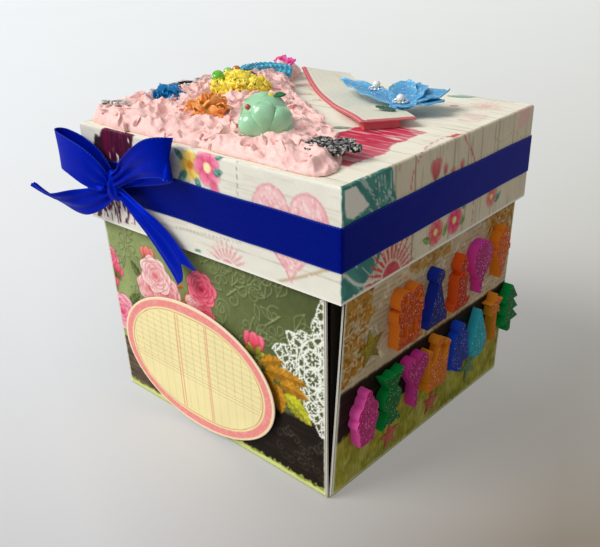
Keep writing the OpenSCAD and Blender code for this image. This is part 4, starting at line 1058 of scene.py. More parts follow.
wall_paper("front_print", FRONT, "front_paper", paint_floral, 0.5)
wall_paper("right_print", RIGHT, "right_paper", paint_cork, 0.5)
wall_paper("back_print", BACK, "back_paper", paint_cork, 0.8)
wall_paper("left_print", LEFT, "left_paper", paint_floral, 0.8)


def wall_frame(k, u, z):
    """A frame that lies on wall k, its Z pointing outward."""
    lean = math.degrees(math.atan((FLARE - u * TWIST * math.pi / 180) / BOX_H))
    at = wall_point(k, np.array(float(u)), np.array(float(z)), BOX_W / 2)
    return shift(*at) @ turn("Z", 90 * k + TWIST * float(rise(z))) @ turn("X", 90 + lean) @ shift(0, 0, 0.05)


def oval_card():
    rings, around = 92, 380
    face, back, sag = 2.8, 2.02, 0.35
    a = np.linspace(0, 2 * math.pi, around, endpoint=False)
    rows = [(q, face - sag * q ** 2) for q in np.linspace(0, 1, rings + 1)[1:-1]]
    rows += [(0.994, face - sag), (1.0, 2.68 - sag), (1.0, 2.32 - sag), (0.99, back), (0.5, back)]
    ring = [np.stack([OVAL_A * q * np.cos(a), OVAL_B * q * np.sin(a), h + 0 * a], -1) for q, h in rows]
    points = np.concatenate(ring + [[[0, 0, face], [0, 0, back]]])
    faces = fanned(len(rows), around)
    p = Print(points[:, 0], points[:, 1], "#f8dcc0")
    paint_oval(p)
    p.lay(1.0 * (points[:, 2] < 2.35), "#f3e3cf")
    points = moved(wall_frame(FRONT, -8.5, 30.5), points)
    piece("oval_card_print", (points, faces), paper_finish("oval_card_sheet", 0.55), "box", ("oval_tag",),
          p.rgb)


oval_card()

# ---- softened copies of what is cut from foam, foil or cast ----

def soften(node, name, finish, body, bevel=0.35, segments=2):
    """Stands for a CAD node: the same solid, its cut edges rounded over."""
    bm = bmesh.new()
    bm.from_mesh(bpy.data.objects[node].data)
    bmesh.ops.remove_doubles(bm, verts=bm.verts, dist=2e-5)
    bmesh.ops.dissolve_limit(bm, angle_limit=0.03, verts=bm.verts, edges=bm.edges)
    bmesh.ops.recalc_face_normals(bm, faces=bm.faces)
    hard = [e for e in bm.edges if len(e.link_faces) == 2 and e.calc_face_angle(0) > 0.6]
    bmesh.ops.bevel(bm, geom=hard, offset=bevel * MM, segments=segments, profile=0.6, affect="EDGES",
                    clamp_overlap=True)
    bmesh.ops.triangulate(bm, faces=[f for f in bm.faces if len(f.verts) > 4])
    mesh = bpy.data.meshes.new(name)
    bm.to_mesh(mesh)
    bm.free()
    mesh.materials.clear()
    mesh.materials.append(finish)
    mesh.shade_smooth()
    mesh.set_sharp_from_angle(angle=math.radians(32))
    thing = add(name, mesh)
    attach(thing, body)
    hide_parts(node)


# Each sticker's side colour, then its face colour. The faces look to the right, away from the lamp, and the sides to
# the front: the darker faces and lighter sides are partly the foam's and glitter's own two tones, partly painted shade
# on the faces and painted light on the sides.
FOAMS = {"gift": ("#ff8a28", "#a01e04"), "hat": ("#1c34b4", "#040848"), "candle": ("#ff6420", "#8e1404"),
         "balloon": ("#f048b4", "#8a0c48"), "cone": ("#ff9424", "#b43c04"), "cupcake": ("#ff5cb8", "#9c1054"),
         "sweet": ("#08a046", "#024414"), "heart": ("#f046ae", "#8a0c4c"), "crown": ("#ffa42c", "#b85204"),
         "bell": ("#2458ec", "#04145c"), "drop": ("#44d0dc", "#188c96"), "wand": ("#ffa42c", "#bc4c04"),
         "tree": ("#08a84c", "#024c18")}
OUTWARD = (0.999, 0.03, 0.01)
for item, (side_colour, face_colour) in FOAMS.items():
    soften("foam_" + item, item + "_sticker", glitter_finish(item + "_foam", side_colour, face_colour, facing=OUTWARD),
           "box")

for item, (dark_foil, light_foil) in {"olive": ("#7c6e04", "#b4a42c"), "blue": ("#1c6f95", "#5cb8d6"),
                                      "green": ("#23492a", "#6f9c5e"), "red_left": ("#96261f", "#e0705a"),
                                      "red_right": ("#8c241e", "#d8664f")}.items():
    soften("star_" + item, item + "_foil_star", foil_finish(item + "_foil", dark_foil, light_foil), "box",
           0.07, 1)
soften("glitter_dot", "orange_glitter_blob", glitter_finish("loose_glitter", "#e88a24", "#b8641a", 0.4, OUTWARD, 0.2),
       "box", 0.2, 1)

# ---- lid ----

def lid_print():
    finish = paper_finish("lid_sheet", 0.55)
    n, step = 209, 8
    s = np.linspace(-LID_FLAT, LID_FLAT, n)
    x, y = np.meshgrid(s, s)
    top = np.stack([x, y, -0.05 * grain(x, y, 18, 3, 2)], -1)
    low = np.stack([x, y, 0 * x - PAPER_T], -1)[::step, ::step]
    p = Print(x.ravel(), y.ravel(), CREAM, 7)
    paint_lid_top(p)
    piece("lid_top_print", shell(moved(ON_LID, top), moved(ON_LID, low), step), finish, "lid", ("lid_paper",),
          p.rgb)

    inner, foot = LID_HALF - PAPER_T, LID_BOTTOM - LID_TOP
    arc = np.radians(np.linspace(0, 90, 6))
    down = np.linspace(-1.6, foot, 62)
    out = [(LID_FLAT + math.sin(a), math.cos(a) - 1) for a in arc] + [(LID_HALF, z) for z in down]
    back = [(inner, foot), (inner, -20), (inner, -1), (63.57, -0.43), (LID_FLAT, -PAPER_T)]
    length = list(arc) + [math.pi / 2 - 1 - z for z in down] + [42, 23, 4, 2, 0]
    t = s[:-1]
    rows, places = [], []
    for (d, z), run in zip(out + back, length):
        u = t * d / LID_FLAT
        rows.append(np.concatenate([np.stack([u * c + d * s, u * s - d * c, 0 * u + z], -1) for c, s in QUARTERS]))
        places.append(np.stack([np.tile(u, 4), np.full(4 * len(t), LID_TOP - run),
                                np.repeat(np.arange(4), len(t))], -1))
    points = np.concatenate(rows)
    places = np.concatenate(places)
    colours = np.zeros((len(points), 3))
    for k in range(4):
        i = np.flatnonzero(places[:, 2] == k)
        p = Print(places[i, 0], places[i, 1], CREAM, 11 + k)
        if k == FRONT:
            paint_skirt_front(p)
        elif k == RIGHT:
            paint_skirt_right(p)
        else:
            paint_skirt_plain(p, LID_TOP + LID_FLAT - p.y if k == BACK else -p.x)
        p.lay(within(p.y - LID_BOTTOM - 0.35), "#f0ede2")
        worn = within(63.6 - abs(p.x), 0.8) + within(121.4 - p.y, 1.2) * 0.5
        p.lay(worn * ease(p.noise(2.5, 77) * 3 - 1.2) * 0.8, "#f1eee4")
        colours[i] = p.rgb
    faces = grid(len(rows), 4 * len(t), True, True)
    piece("lid_skirt_print", (moved(ON_LID, points), faces), finish, "lid", ("lid_paper",), colours)


lid_print()

# ---- ribbon and bow ----

# The band is given the bow's satin in darker colours: painted shade.
SHADED_BAND_SATIN = satin_finish("blue_satin_band", "#00085a", "#001a96")
SATIN = satin_finish("blue_satin_bow", "#000e84", "#0026ca")


def ribbon_band():
    """The ribbon round the skirt, drawn tight, with a slow waver and a few soft ripples."""
    half = LID_HALF + 0.05 + RIBBON_T / 2
    path, r = [], 0.5
    for c, s in QUARTERS:
        side = [(u, -half) for u in np.linspace(-half + r, half - r, 110)]
        bend = [(half - r + r * math.sin(a), -half + r - r * math.cos(a)) for a in np.radians([25, 45, 65])]
        path += [(x * c - y * s, x * s + y * c) for x, y in side + bend]
    path = np.array(path)
    along = unit(np.roll(path, -1, 0) - np.roll(path, 1, 0))
    away = np.stack([along[:, 1], -along[:, 0]], -1)
    run = np.concatenate([[0], np.cumsum(np.linalg.norm(np.diff(path, axis=0), axis=1))])
    across = np.linspace(-1, 1, 13)
    rows, marks = [], []
    for side, places in ((1, across), (-1, across[::-2])):
        for q in places:
            z = RIBBON_Z - LID_TOP + q * RIBBON_W / 2 + 0.22 * np.sin(run / 23) + 0.12 * np.sin(run / 7.1)
            lift = 0.16 * grain(run, 0 * run + 9 * q, 14, 5, 2) * (side > 0) + side * RIBBON_T * 0.42
            rows.append(np.column_stack([path + away * lift[:, None], z]))
            marks.append(np.column_stack([run, np.full(len(run), q * RIBBON_W / 2), np.zeros(len(run))]))
    shape = moved(ON_LID, np.concatenate(rows)), grid(len(rows), len(path), True, True)
    band = piece("satin_band", shape, SHADED_BAND_SATIN, "lid", ("ribbon_band",), run=np.concatenate(marks))


ribbon_band()

AT_KNOT = ON_LID @ shift(-41, -LID_HALF - 0.5, RIBBON_Z - LID_TOP) @ Matrix.Diagonal((1, -1, 1, 1))
# stations along each strip: a place, the direction across and how far the ribbon is spread there
BOW = {
    "loop_left": [((-2.5, 5.4, .3), (.25, 0, 1), .4), ((-6, 7, 3), (.2, 0, 1), .8), ((-12, 8.6, 6.6), (.05, 0, 1), 1),
                  ((-20, 8.8, 9), (0, 0, 1), 1), ((-27, 7.6, 10), (-.05, 0, 1), 1),
                  ((-29.8, 5.2, 10.2), (-.05, 0, 1), 1), ((-27, 3.2, 9.8), (0, 0, 1), 1), ((-19, 2.2, 8), (0, 0, 1), 1),
                  ((-10, 1.9, 4.6), (0, 0, 1), .9), ((-3, 2, 1), (0, 0, 1), .5)],
    "loop_right": [((2.5, 5.4, 2.4), (-.3, 0, 1), .35), ((9, 6.2, 6), (-.25, .2, 1), .42),
                   ((15, 7, 9.8), (-.15, .4, .9), .6), ((23.5, 8.2, 14.2), (-.1, .25, 1), .8),
                   ((30.5, 7.6, 17), (-.05, .1, 1), .97), ((34.4, 4.8, 16.8), (0, 0, 1), 1),
                   ((31, 2.4, 14.8), (0, 0, 1), 1), ((24, 1.6, 12.2), (0, 0, 1), 1), ((15, 1.4, 8.6), (0, 0, 1), .85),
                   ((8, 1.5, 5), (0, 0, 1), .6), ((2, 1.8, 1.6), (0, 0, 1), .35)],
    "tail_left": [((-2.5, 4, -3.4), (.4, 0, .9), .4), ((-9, 5, -6.6), (.25, .1, .95), .6),
                  ((-17, 6.4, -9.6), (.1, .2, .97), .75), ((-25, 8, -11), (.2, .5, .8), .85),
                  ((-31.5, 9.5, -10.5), (.45, .65, .6), .8), ((-37, 11, -8.4), (.61, .66, .43), .6),
                  ((-41.5, 12.6, -5.8), (.61, .66, .43), .3)],
    "tail_right": [((2.2, 3.6, -2), (.5, 0, .8), .35), ((7, 3.9, -4), (.5, 0, .85), .42),
                   ((14, 3.4, -8.9), (.45, 0, .9), .58), ((20.4, 2.7, -13.8), (.42, 0, .9), .7),
                   ((26.8, 2.3, -19.4), (.4, 0, .92), .78), ((32.4, 2.2, -25), (.3, 0, .95), .86),
                   ((35.6, 2.2, -28.8), (.15, 0, .98), .95)],
}


def bow_piece(name, steps):
    """A ribbon strip swept through its stations, pleated where it is gathered."""
    wide = 19
    places, sides, spreads = zip(*BOW[name])
    sides = [unit(np.array(v)) for v in sides]
    q = np.linspace(-1, 1, wide)
    end = np.ones(wide)
    if name == "tail_right":
        end = 1 - 0.17 * ease(1 - abs(q - 0.25) / 0.8)
    rows, marks = [], []
    for t in np.linspace(0, 1, steps):
        share = np.minimum(t * end, 1)
        mid, ahead, behind = (spline(places, np.clip(share + d, 0, 1)) for d in (0, 0.01, -0.01))
        full = spline([(v,) for v in spreads], share)
        along = unit(ahead - behind)
        across = spline(sides, share)
        across = unit(across - along * (across * along).sum(1, keepdims=True))
        away = np.cross(along, across)
        fold = np.clip(1.5 * (1 - full[:, 0]), 0, 1.0) * 0.9
        pleat = fold * np.cos(q * 2.5 * math.pi + 0.6) + 0.3 * np.sin(q * 2.2 + 5 * t) * np.sin(7 * t)
        rows.append(mid + across * (q * RIBBON_W / 2)[:, None] * full + away * pleat[:, None])
        marks.append(np.column_stack([t * 70 + 0 * q, q * RIBBON_W / 2, 0 * q]))
    p = moved(AT_KNOT, np.stack(rows))
    marks = np.concatenate(marks)
    strip = piece("bow_" + name + "_satin", thick(p, RIBBON_T * 0.8), SATIN, "lid", ("bow_" + name,),
                  run=np.concatenate([marks, marks]))
    length = np.linalg.norm(np.diff(p[:, wide // 2], axis=0), axis=1).sum()
    cells = np.cross(p[1:, :-1] - p[:-1, :-1], p[:-1, 1:] - p[:-1, :-1])
    area = np.linalg.norm(cells, axis=-1).sum()


for part, steps in (("loop_left", 110), ("loop_right", 120), ("tail_left", 80), ("tail_right", 80)):
    bow_piece(part, steps)


def bow_knot():
    t = np.linspace(-1, 1, 34)
    a = np.linspace(0, 2 * math.pi, 72, endpoint=False)
    rows, marks = [], []
    for s in t:
        w, d, z = 3.7 - 0.8 * s * s, 3 - 1.6 * s * s, 6 * s
        fold = 1 + 0.07 * np.sin(5 * a + 2.2 * s) + 0.05 * np.sin(9 * a - 3 * s + 1)
        shut = 1 - 0.25 * max(0, abs(s) - 0.85) / 0.15
        rows.append(np.stack([0.4 + 0.12 * z + w * np.cos(a) * fold * shut, 3.2 + d * np.sin(a) * fold * shut,
                              0 * a + z], -1))
        marks.append(np.stack([a * 3.4, 0 * a + z, 0 * a], -1))
    points = np.concatenate(rows + [[[0.4 - 0.72, 3.2, -6], [0.4 + 0.72, 3.2, 6]]])
    piece("bow_knot_satin", (moved(AT_KNOT, points), fanned(len(t), len(a))), SATIN, "lid", ("bow_knot",),
          run=np.concatenate(marks + [[[0, 0, 0], [0, 0, 0]]]), sharp=60)


bow_knot()

# ---- icing and what is pressed into it ----

PASTE_EDGE = [(-62, -60), (-47, -63), (-32, -62.5), (-16, -63), (0, -61.5), (15, -62.5), (30, -62.5), (45, -63),
              (55, -61.5), (56, -54), (51, -44), (42, -32), (31, -23), (18, -12), (5, -2), (-9, 7), (-24, 19),
              (-36, 31), (-47, 43), (-52, 55), (-58, 62), (-63, 52), (-62, 36), (-63, 18), (-62, 0), (-63, -20),
              (-62.5, -42)]


def wave(x, y, p):
    """A rolling field from -1 to 1, bent by p."""
    s = lambda v: np.sin(np.radians(v))
    c = lambda v: np.cos(np.radians(v))
    return s(x * 17 + 50 * s(y * 11 + p)) * c(y * 15 + 40 * s(x * 9 - p))


def paste_body(x, y):
    """The height of the paste before its tufts: thick at the front left, with one mound."""
    mound = 0.35 * np.maximum(0, 1 - ((x - 5) ** 2 + (y + 33) ** 2) / 170)
    return PASTE_H * (0.62 + 0.38 * ease((20 - x + y / 2) / 70) + mound)


def icing_tufts(x, y):
    """Peaks and knife ridges, pulled up at random."""
    wx = x + 2.4 * grain(x, y, 9, 201, 2)
    wy = y + 2.4 * grain(x, y, 9, 202, 2)
    a = 1 - abs(2 * grain(wx, wy, 7.5, 203, 1) - 1)
    b = 1 - abs(2 * grain(wx * 0.8 + wy * 0.6, wy * 0.8 - wx * 0.6, 3.6, 204, 1) - 1)
    c = 1 - abs(2 * grain(wx, wy, 1.7, 205, 1) - 1)
    return 2.4 * (a ** 2 - 0.45) + 1.7 * (b ** 2 - 0.4) + 0.45 * (c ** 2 - 0.4)


def icing():
    """The paste from its outline inward, and small crests strewn over its upper side."""
    around, rings = 500, 108
    edge = spline(PASTE_EDGE, np.arange(around) / around, True)
    middle = np.array([-34.0, -26.0])
    ragged = 1 - 0.035 * grain(edge[:, 0], edge[:, 1], 3.4, 210, 3) - 0.02 * grain(edge[:, 0], edge[:, 1], 12, 211, 2)
    rows = [np.column_stack([middle + (edge - middle) * ragged[:, None] * 0.995, np.full(around, 0.05)])]
    for f in 1 - np.linspace(0, 1, rings + 1)[:-1] ** 1.12:
        xy = middle + (edge - middle) * (f * ragged)[:, None]
        x, y = xy[:, 0], xy[:, 1]
        lift = max(0.0, 1 - f ** 9) ** 0.5
        lump = PASTE_H * (0.12 * wave(x, y, 20) + 0.067 * wave(y * 1.7, x * 1.9, 70))
        z = 0.4 + (paste_body(x, y) + 0.6 * lump - 0.4) * lift + icing_tufts(x, y) * min(1, 1.4 * lift)
        rows.append(np.column_stack([xy, np.maximum(z, 0.3)]))
    points = np.concatenate(rows + [[[*middle, 8.3], [*middle, 0.05]]])
    finish = icing_finish()
    piece("piped_icing", (moved(ON_LID, points), fanned(len(rows), around, True)), finish, "lid", ("paste_topping",),
          sharp=80)
    rows, thin = points[around:-2].reshape(rings, around, 3)[::6, ::4], around // 4
    rows[0, :, 2] = 1.6
    crests = np.concatenate([rows.reshape(-1, 3), [[*middle, 8.0], [*middle, 1.0]]])
    ground = moved(ON_LID, crests - [0, 0, 0.5]), fanned(len(rows), thin, True)
    scatter("icing_peaks", ground, pulled_peak(), finish, "lid", None, 0.03, 0.5, 1.3, 0.8, 31, "pink_paste", 0.1)


def pulled_peak():
    """A crest that a knife has dragged up and over, thick at its foot."""
    rows = []
    a = np.linspace(0, 2 * math.pi, 8, endpoint=False)
    for s in (0, 0.3, 0.6, 0.85):
        wide, deep = 2.8 * (1 - s) ** 0.6 + 0.15, 1.1 * (1 - s) ** 0.9 + 0.1
        rows.append(np.stack([wide * np.cos(a) + 0.5 * s, deep * np.sin(a) + 1.7 * s * s, 0 * a + 1.5 * s], -1))
    points = np.concatenate(rows + [[[0.5, 1.8, 1.4], [0, 0, -0.1]]])
    return points, fanned(4, 8, True)


def over_paste(x, y, z):
    """A place on the lid, z above the paste's usual height."""
    return x, y, PASTE_H + z


def on_paste(x, y, sink):
    """A frame on the paste, sunk a little into it."""
    return ON_LID @ shift(x, y, float(paste_body(x, y)) - sink)


def cake():
    """A half-round resin cake on its back, with scalloped drips, a ball, a leaf and a cherry."""
    profile = [(0.05, 0), (4.6, 0.4), (7.6, 1.5), (9.2, 3.4), (9.2, 5.6), (8.1, 7.1), (6.8, 7.9), (7.8, 9.4),
               (8.7, 12.4), (8.5, 16.6), (7.2, 19.4), (4.8, 20.8), (0.05, 21)]
    a = np.linspace(-math.pi, 0, 120)
    ring = []
    for r, z in spline(profile, np.linspace(0, 1, 90)):
        drip = 0.5 * ease((z - 15.2 + 1.5 * np.sin(7 * a)) / 0.9) * (z > 10)
        drip = drip + 0.45 * ease((z - 4.6 + np.sin(9 * a + 1)) / 0.8) * (z < 7.5)
        lobes = 1 + (0.22 * abs(np.sin(3 * a + 0.5)) ** 0.55 - 0.14) * ease((8.4 - z) / 1.6)
        reach = np.maximum((r + drip * min(1, r / 6) - 0.25) * lobes, 0.05)
        ring.append(np.stack([reach * np.cos(a), reach * np.sin(a), 0 * a + z], -1))
    n, m = len(ring), len(a)
    faces = grid(n, m) + [[i * m, i * m + m - 1, (i + 1) * m + m - 1, (i + 1) * m] for i in range(n - 1)]
    faces += [list(range(m)), [(n - 1) * m + j for j in range(m)][::-1]]
    at = ON_LID @ shift(*over_paste(20.5, -48, -2.7)) @ turn("Z", 46) @ turn("X", -80)
    resin = resin_finish("mint_resin_cast", "#8ccb98", "#aee2b8", 0.8)
    piece("resin_cake", (moved(at, np.concatenate(ring)), faces), resin, "lid", ("cake_charm",))
    yellow = resin_finish("lemon_resin", "#f4dc1c", "#fff066", 0.6)
    p, q = ball(2.4, 1.8, -6.4, 15.6, 32, 0.9)
    piece("cake_lemon_ball", (moved(at, p), q), yellow, "lid")
    s, t = np.meshgrid(np.linspace(0, 1, 14), np.linspace(-1, 1, 7), indexing="ij")
    leaf = np.stack([4.4 * s, 1.3 * np.sin(math.pi * s) ** 0.8 * t, 0.7 * s * (1 - s) + 0.3 * abs(t)], -1)
    green = petal_finish("resin_leaf_green", "#0f5a34", "#2f8a52")
    spot = at @ shift(3.4, -7.7, 14.6) @ turn("Y", -20) @ turn("X", 100)
    piece("cake_leaf", thick(moved(spot, leaf), 0.6), green, "lid")
    red = resin_finish("cherry_resin", "#b3242a", "#e0575a", 0.6)
    p, q = ball(1.0, -6.0, -6.0, 10.8, 20)
    piece("cake_cherry", (moved(at, p), q), red, "lid")


cake()

SILVER = silver_finish("antique_silver")
soften("leaf_charm", "silver_leaf", SILVER, "lid", 0.3)
soften("feather_charm", "silver_feather", SILVER, "lid", 0.3)
# The openwork charm: about half black tarnish, half near-white; the near-white is partly bright silver, partly painted
# highlight.
soften("openwork_charm", "silver_openwork", silver_finish("black_silver", "#0c0b0a", "#f6f4f0", 0.49), "lid", 0.45)
soften("blue_charm", "blue_glitter_flower", glitter_finish("blue_glitter_coat", "#1a86c4", "#0f6aa6", 0.4,
                                                           (0, 0, 1), 0.12), "lid", 0.35)


def scatter(name, base, petal, finish, body, stands_for, density, small, large, tilt, seed, slot=None, upward=-2.0):
    """Petals strewn over a base by Geometry Nodes, standing out from it and each turned at random.
    The base itself is part of the result only where it stands for a node."""
    ground, single = (add(name + end, closed_mesh(name + end, shape))
                      for end, shape in (("_ground", base), ("_single", petal)))
    tree = bpy.data.node_groups.new(name + "_strewn", "GeometryNodeTree")
    sockets = {"Ground": "NodeSocketGeometry", "Petal": "NodeSocketObject", "Density": "NodeSocketFloat",
               "Smallest": "NodeSocketFloat", "Largest": "NodeSocketFloat", "Tilt": "NodeSocketFloat"}
    ids = {k: tree.interface.new_socket(k, in_out="INPUT", socket_type=v).identifier for k, v in sockets.items()}
    tree.interface.new_socket("Result", in_out="OUTPUT", socket_type="NodeSocketGeometry")

    def node(kind, values=None, **settings):
        n = tree.nodes.new(kind)
        for key, value in settings.items():
            setattr(n, key, value)
        for key, value in (values or {}).items():
            n.inputs[key].default_value = value
        return n

    given, result = node("NodeGroupInput"), node("NodeGroupOutput")
    spread = node("GeometryNodeDistributePointsOnFaces", {"Seed": seed})
    looks, parts = node("GeometryNodeInputNormal"), node("ShaderNodeSeparateXYZ")
    above = node("ShaderNodeMath", {1: upward}, operation="GREATER_THAN")
    size = node("FunctionNodeRandomValue", {"Seed": seed + 1}, data_type="FLOAT")
    lean = node("ShaderNodeMath", {1: -1.0}, operation="MULTIPLY")
    low, high = node("ShaderNodeCombineXYZ", {2: 0.0}), node("ShaderNodeCombineXYZ", {2: 2 * math.pi})
    angle = node("FunctionNodeRandomValue", {"Seed": seed + 2}, data_type="FLOAT_VECTOR")
    euler, rotate = node("FunctionNodeEulerToRotation"), node("FunctionNodeRotateRotation", rotation_space="LOCAL")
    info, strew = node("GeometryNodeObjectInfo"), node("GeometryNodeInstanceOnPoints")
    join, real = node("GeometryNodeJoinGeometry"), node("GeometryNodeRealizeInstances")
    cover = node("GeometryNodeSetMaterial", {"Material": finish})
    links = [(given, "Ground", spread, "Mesh"), (given, "Density", spread, "Density"),
             (looks, 0, parts, 0), (parts, 2, above, 0), (above, 0, spread, "Selection"),
             (given, "Smallest", size, 2), (given, "Largest", size, 3), (given, "Tilt", lean, 0),
             (lean, 0, low, 0), (lean, 0, low, 1), (given, "Tilt", high, 0), (given, "Tilt", high, 1),
             (low, 0, angle, 0), (high, 0, angle, 1), (angle, 0, euler, 0),
             (spread, "Rotation", rotate, 0), (euler, 0, rotate, 1), (given, "Petal", info, "Object"),
             (spread, "Points", strew, "Points"), (info, "Geometry", strew, "Instance"),
             (rotate, 0, strew, "Rotation"), (size, 1, strew, "Scale")]
    if stands_for:
        links.append((given, "Ground", join, 0))
    links += [(strew, "Instances", join, 0), (join, 0, real, 0), (real, 0, cover, "Geometry"), (cover, 0, result, 0)]
    for source, way_out, target, way_in in links:
        tree.links.new(source.outputs[way_out], target.inputs[way_in])
    modifier = ground.modifiers.new("strewn", "NODES")
    modifier.node_group = tree
    values = {"Petal": single, "Density": density * 1e6, "Smallest": small, "Largest": large, "Tilt": tilt}
    for key, value in values.items():
        modifier[ids[key]] = value
    depsgraph = bpy.context.evaluated_depsgraph_get()
    mesh = bpy.data.meshes.new_from_object(ground.evaluated_get(depsgraph))
    mesh.name = name
    thing = add(name, mesh)
    bpy.data.objects.remove(ground)
    bpy.data.objects.remove(single)
    if not mesh.materials:
        mesh.materials.append(finish)
    mesh.set_sharp_from_angle(angle=math.radians(60))
    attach(thing, body)
    if stands_for:
        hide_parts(stands_for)


def tuft_petal(length, width, cup=0.35):
    """A small cupped petal that stands up from its foot at the origin."""
    s, t = np.meshgrid(np.linspace(0, 1, 5), np.linspace(-1, 1, 4), indexing="ij")
    half = width / 2 * np.sin(0.35 + 2.5 * s) ** 0.8
    p = np.stack([t * half, cup * length * (s ** 2) + 0.2 * width * t ** 2, length * s], -1)
    return thick(p, 0.14 * width)


def dome(rx, ry, h, bumps=0.06):
    a = np.linspace(0, 2 * math.pi, 40, endpoint=False)
    rows = []
    for t in np.radians(np.linspace(0, 84, 11)):
        r = math.cos(t) * (1 + bumps * np.sin(5 * a + 3 * t))
        rows.append(np.stack([rx * r * np.cos(a), ry * r * np.sin(a), h * math.sin(t) + 0 * a], -1))
    points = np.concatenate(rows + [[[0, 0, h], [0, 0, 0]]])
    return points, fanned(len(rows), 40, True)


def paper_flowers():
    yellow = petal_finish("yellow_crepe", "#ffe41a", "#fff682")
    orange = petal_finish("orange_crepe", "#f07c0c", "#ffc87a")
    green = petal_finish("green_crepe", "#4f7d1c", "#a2c83e")
    blue = glitter_finish("blue_glitter_petals_small", "#1a86c4", "#0f5f9a", 0.4, (0, 0, 1), 0.1)
    orange_at = on_paste(-17.5, -38.5, 0.6)
    for name, at, mound, petal, finish, node, slot, amounts in (
            ("yellow_tufts", on_paste(-32, -7.5, 0.6) @ turn("Z", 32), (11.0, 7.6, 6.0, 0.1), (1.7, 3.2, 1.0),
             yellow, "yellow_flower", None, (0.5, 0.6, 1.1, 0.35, 3)),
            ("orange_tufts", orange_at, (5.4, 5.0, 4.6), (3.2, 3.4, 0.5),
             orange, "orange_flower", None, (0.5, 0.75, 1.2, 0.8, 8)),
            ("green_tufts", orange_at, (5.8, 5.4, 3.4), (1.8, 1.5),
             green, None, "orange_paper", (0.16, 0.8, 1.2, 0.8, 12)),
            ("blue_tufts", on_paste(-45.5, -34.5, 1.6), (5.6, 5.2, 2.0), (2.6, 2.4, 0.6),
             blue, None, SLOTS["blue_charm"], (0.45, 0.7, 1.15, 0.9, 17))):
        p, q = dome(*mound)
        scatter(name, (moved(at, p), q), tuft_petal(*petal), finish, "lid", node, *amounts, slot)


paper_flowers()
icing()


def beads():
    wire = petal_finish("dark_beading_wire", "#2c2926", "#5a544c")
    row = (("bead_green", 2.7, 62, (-38, -13.3, 4.5), "green_glass_bead", "#4fae14", "#86dc34"),
           ("bead_lime", 2.1, 90, (-42, -3.5, 4.3), "lime_glass_bead", "#7cc046", "#aee07c"),
           ("bead_amber", 2.0, 90, (-42.3, 1.8, 4.3), "amber_glass_bead", "#b4561c", "#dc8a44"))
    for node, r, lean, spot, glass, dark, light in row:
        profile = [(0, -0.72 * r), (0.22 * r, -0.74 * r), (0.34 * r, -0.9 * r)]
        profile += [(r * math.cos(a), r * math.sin(a)) for a in np.radians(np.linspace(-66, 66, 15))]
        profile += [(0.34 * r, 0.9 * r), (0.22 * r, 0.74 * r), (0, 0.72 * r)]
        p, q = lathe(profile, 32)
        at = ON_LID @ shift(*over_paste(*spot)) @ turn("X", lean)
        piece(node + "_glass", (moved(at, p), q), resin_finish(glass, dark, light, 0.8, 0.15), "lid", (node,))
    spots = [bead[3] for bead in row]
    path = [over_paste(*q) for q in [(-34, -18, -.5), spots[0], (-40.5, -8, 4.9), spots[1], spots[2], (-40, 7, 3.5),
                                     (-36, 9.5, .5), (-33, 9, -1.5)]]
    p, q = rod(spline(path, np.linspace(0, 1, 90)), 0.33, 8)
    piece("beading_wire", (moved(ON_LID, p), q), wire, "lid", ("bead_wire",))


beads()


def twist_and_blossoms():
    path = spline([over_paste(*q) for q in [(-46, 8, 2.5), (-47.5, 14, 2.5), (-47, 22, 1.5), (-44, 29, .1),
                                            (-39.5, 34, -1.5)]], np.linspace(0, 1, 70))
    a = np.linspace(0, 2 * math.pi, 60, endpoint=False)
    t = np.linspace(0, 1, 70)[:, None]
    r = (1.4 + 1.8 * t) * (1 + 0.16 * np.sin(6 * a[None] + 9 * t) + 0.1 * np.sin(26 * t * math.pi))
    points, faces = rod(path, r * np.sqrt(np.clip(1 - ((t - 0.5) / 0.52) ** 10, 0.05, 1)), 60)
    cyan = petal_finish("cyan_glitter_paper", "#1793c4", "#58d4f0", 0.08)
    piece("cyan_glitter_twist", (moved(ON_LID, points), faces), cyan, "lid", ("cyan_twist",))
    pink = petal_finish("magenta_foam_petals", "#cc2080", "#f858ac", 0.05)
    for node, x, y, angle in (("blossom_left", -58, 48, 10), ("blossom_right", -50, 44.5, 40)):
        parts = [ball(1.2, 0, 0, 1.2, 20)]
        s, t = np.meshgrid(np.linspace(0, 1, 9), np.linspace(-1, 1, 7), indexing="ij")
        for k in range(5):
            half = 1.5 * np.sin(0.3 + 2.6 * s) ** 0.7
            petal = np.stack([0.3 + 3.1 * s, t * half, 0.7 + 0.5 * s ** 2 + 0.35 * t ** 2], -1)
            q, f = thick(petal, 0.7)
            parts.append((moved(turn("Z", 72 * k), q), f))
        at = on_paste(x, y, 0.4) @ turn("Z", angle) @ turn("Y", -12) @ turn("X", 18)
        p, q = together(*parts)
        piece(node + "_petals", (moved(at, p), q), pink, "lid", (node,))


twist_and_blossoms()

# ---- card tag and blue flower ----


def tag_z(u):
    """The height of the curled tag along its length: down from its lifted corner, then up on the pad."""
    t = u / TAG_LEN
    return 0.05 + np.where(t < 0.38, 6 * np.clip(1 - t / 0.38, 0, 1) ** 2, 3 * ease((t - 0.49) / 0.51))


ON_TAG = ON_LID @ shift(-41.6, 44.9, 0) @ turn("Z", -37.1)


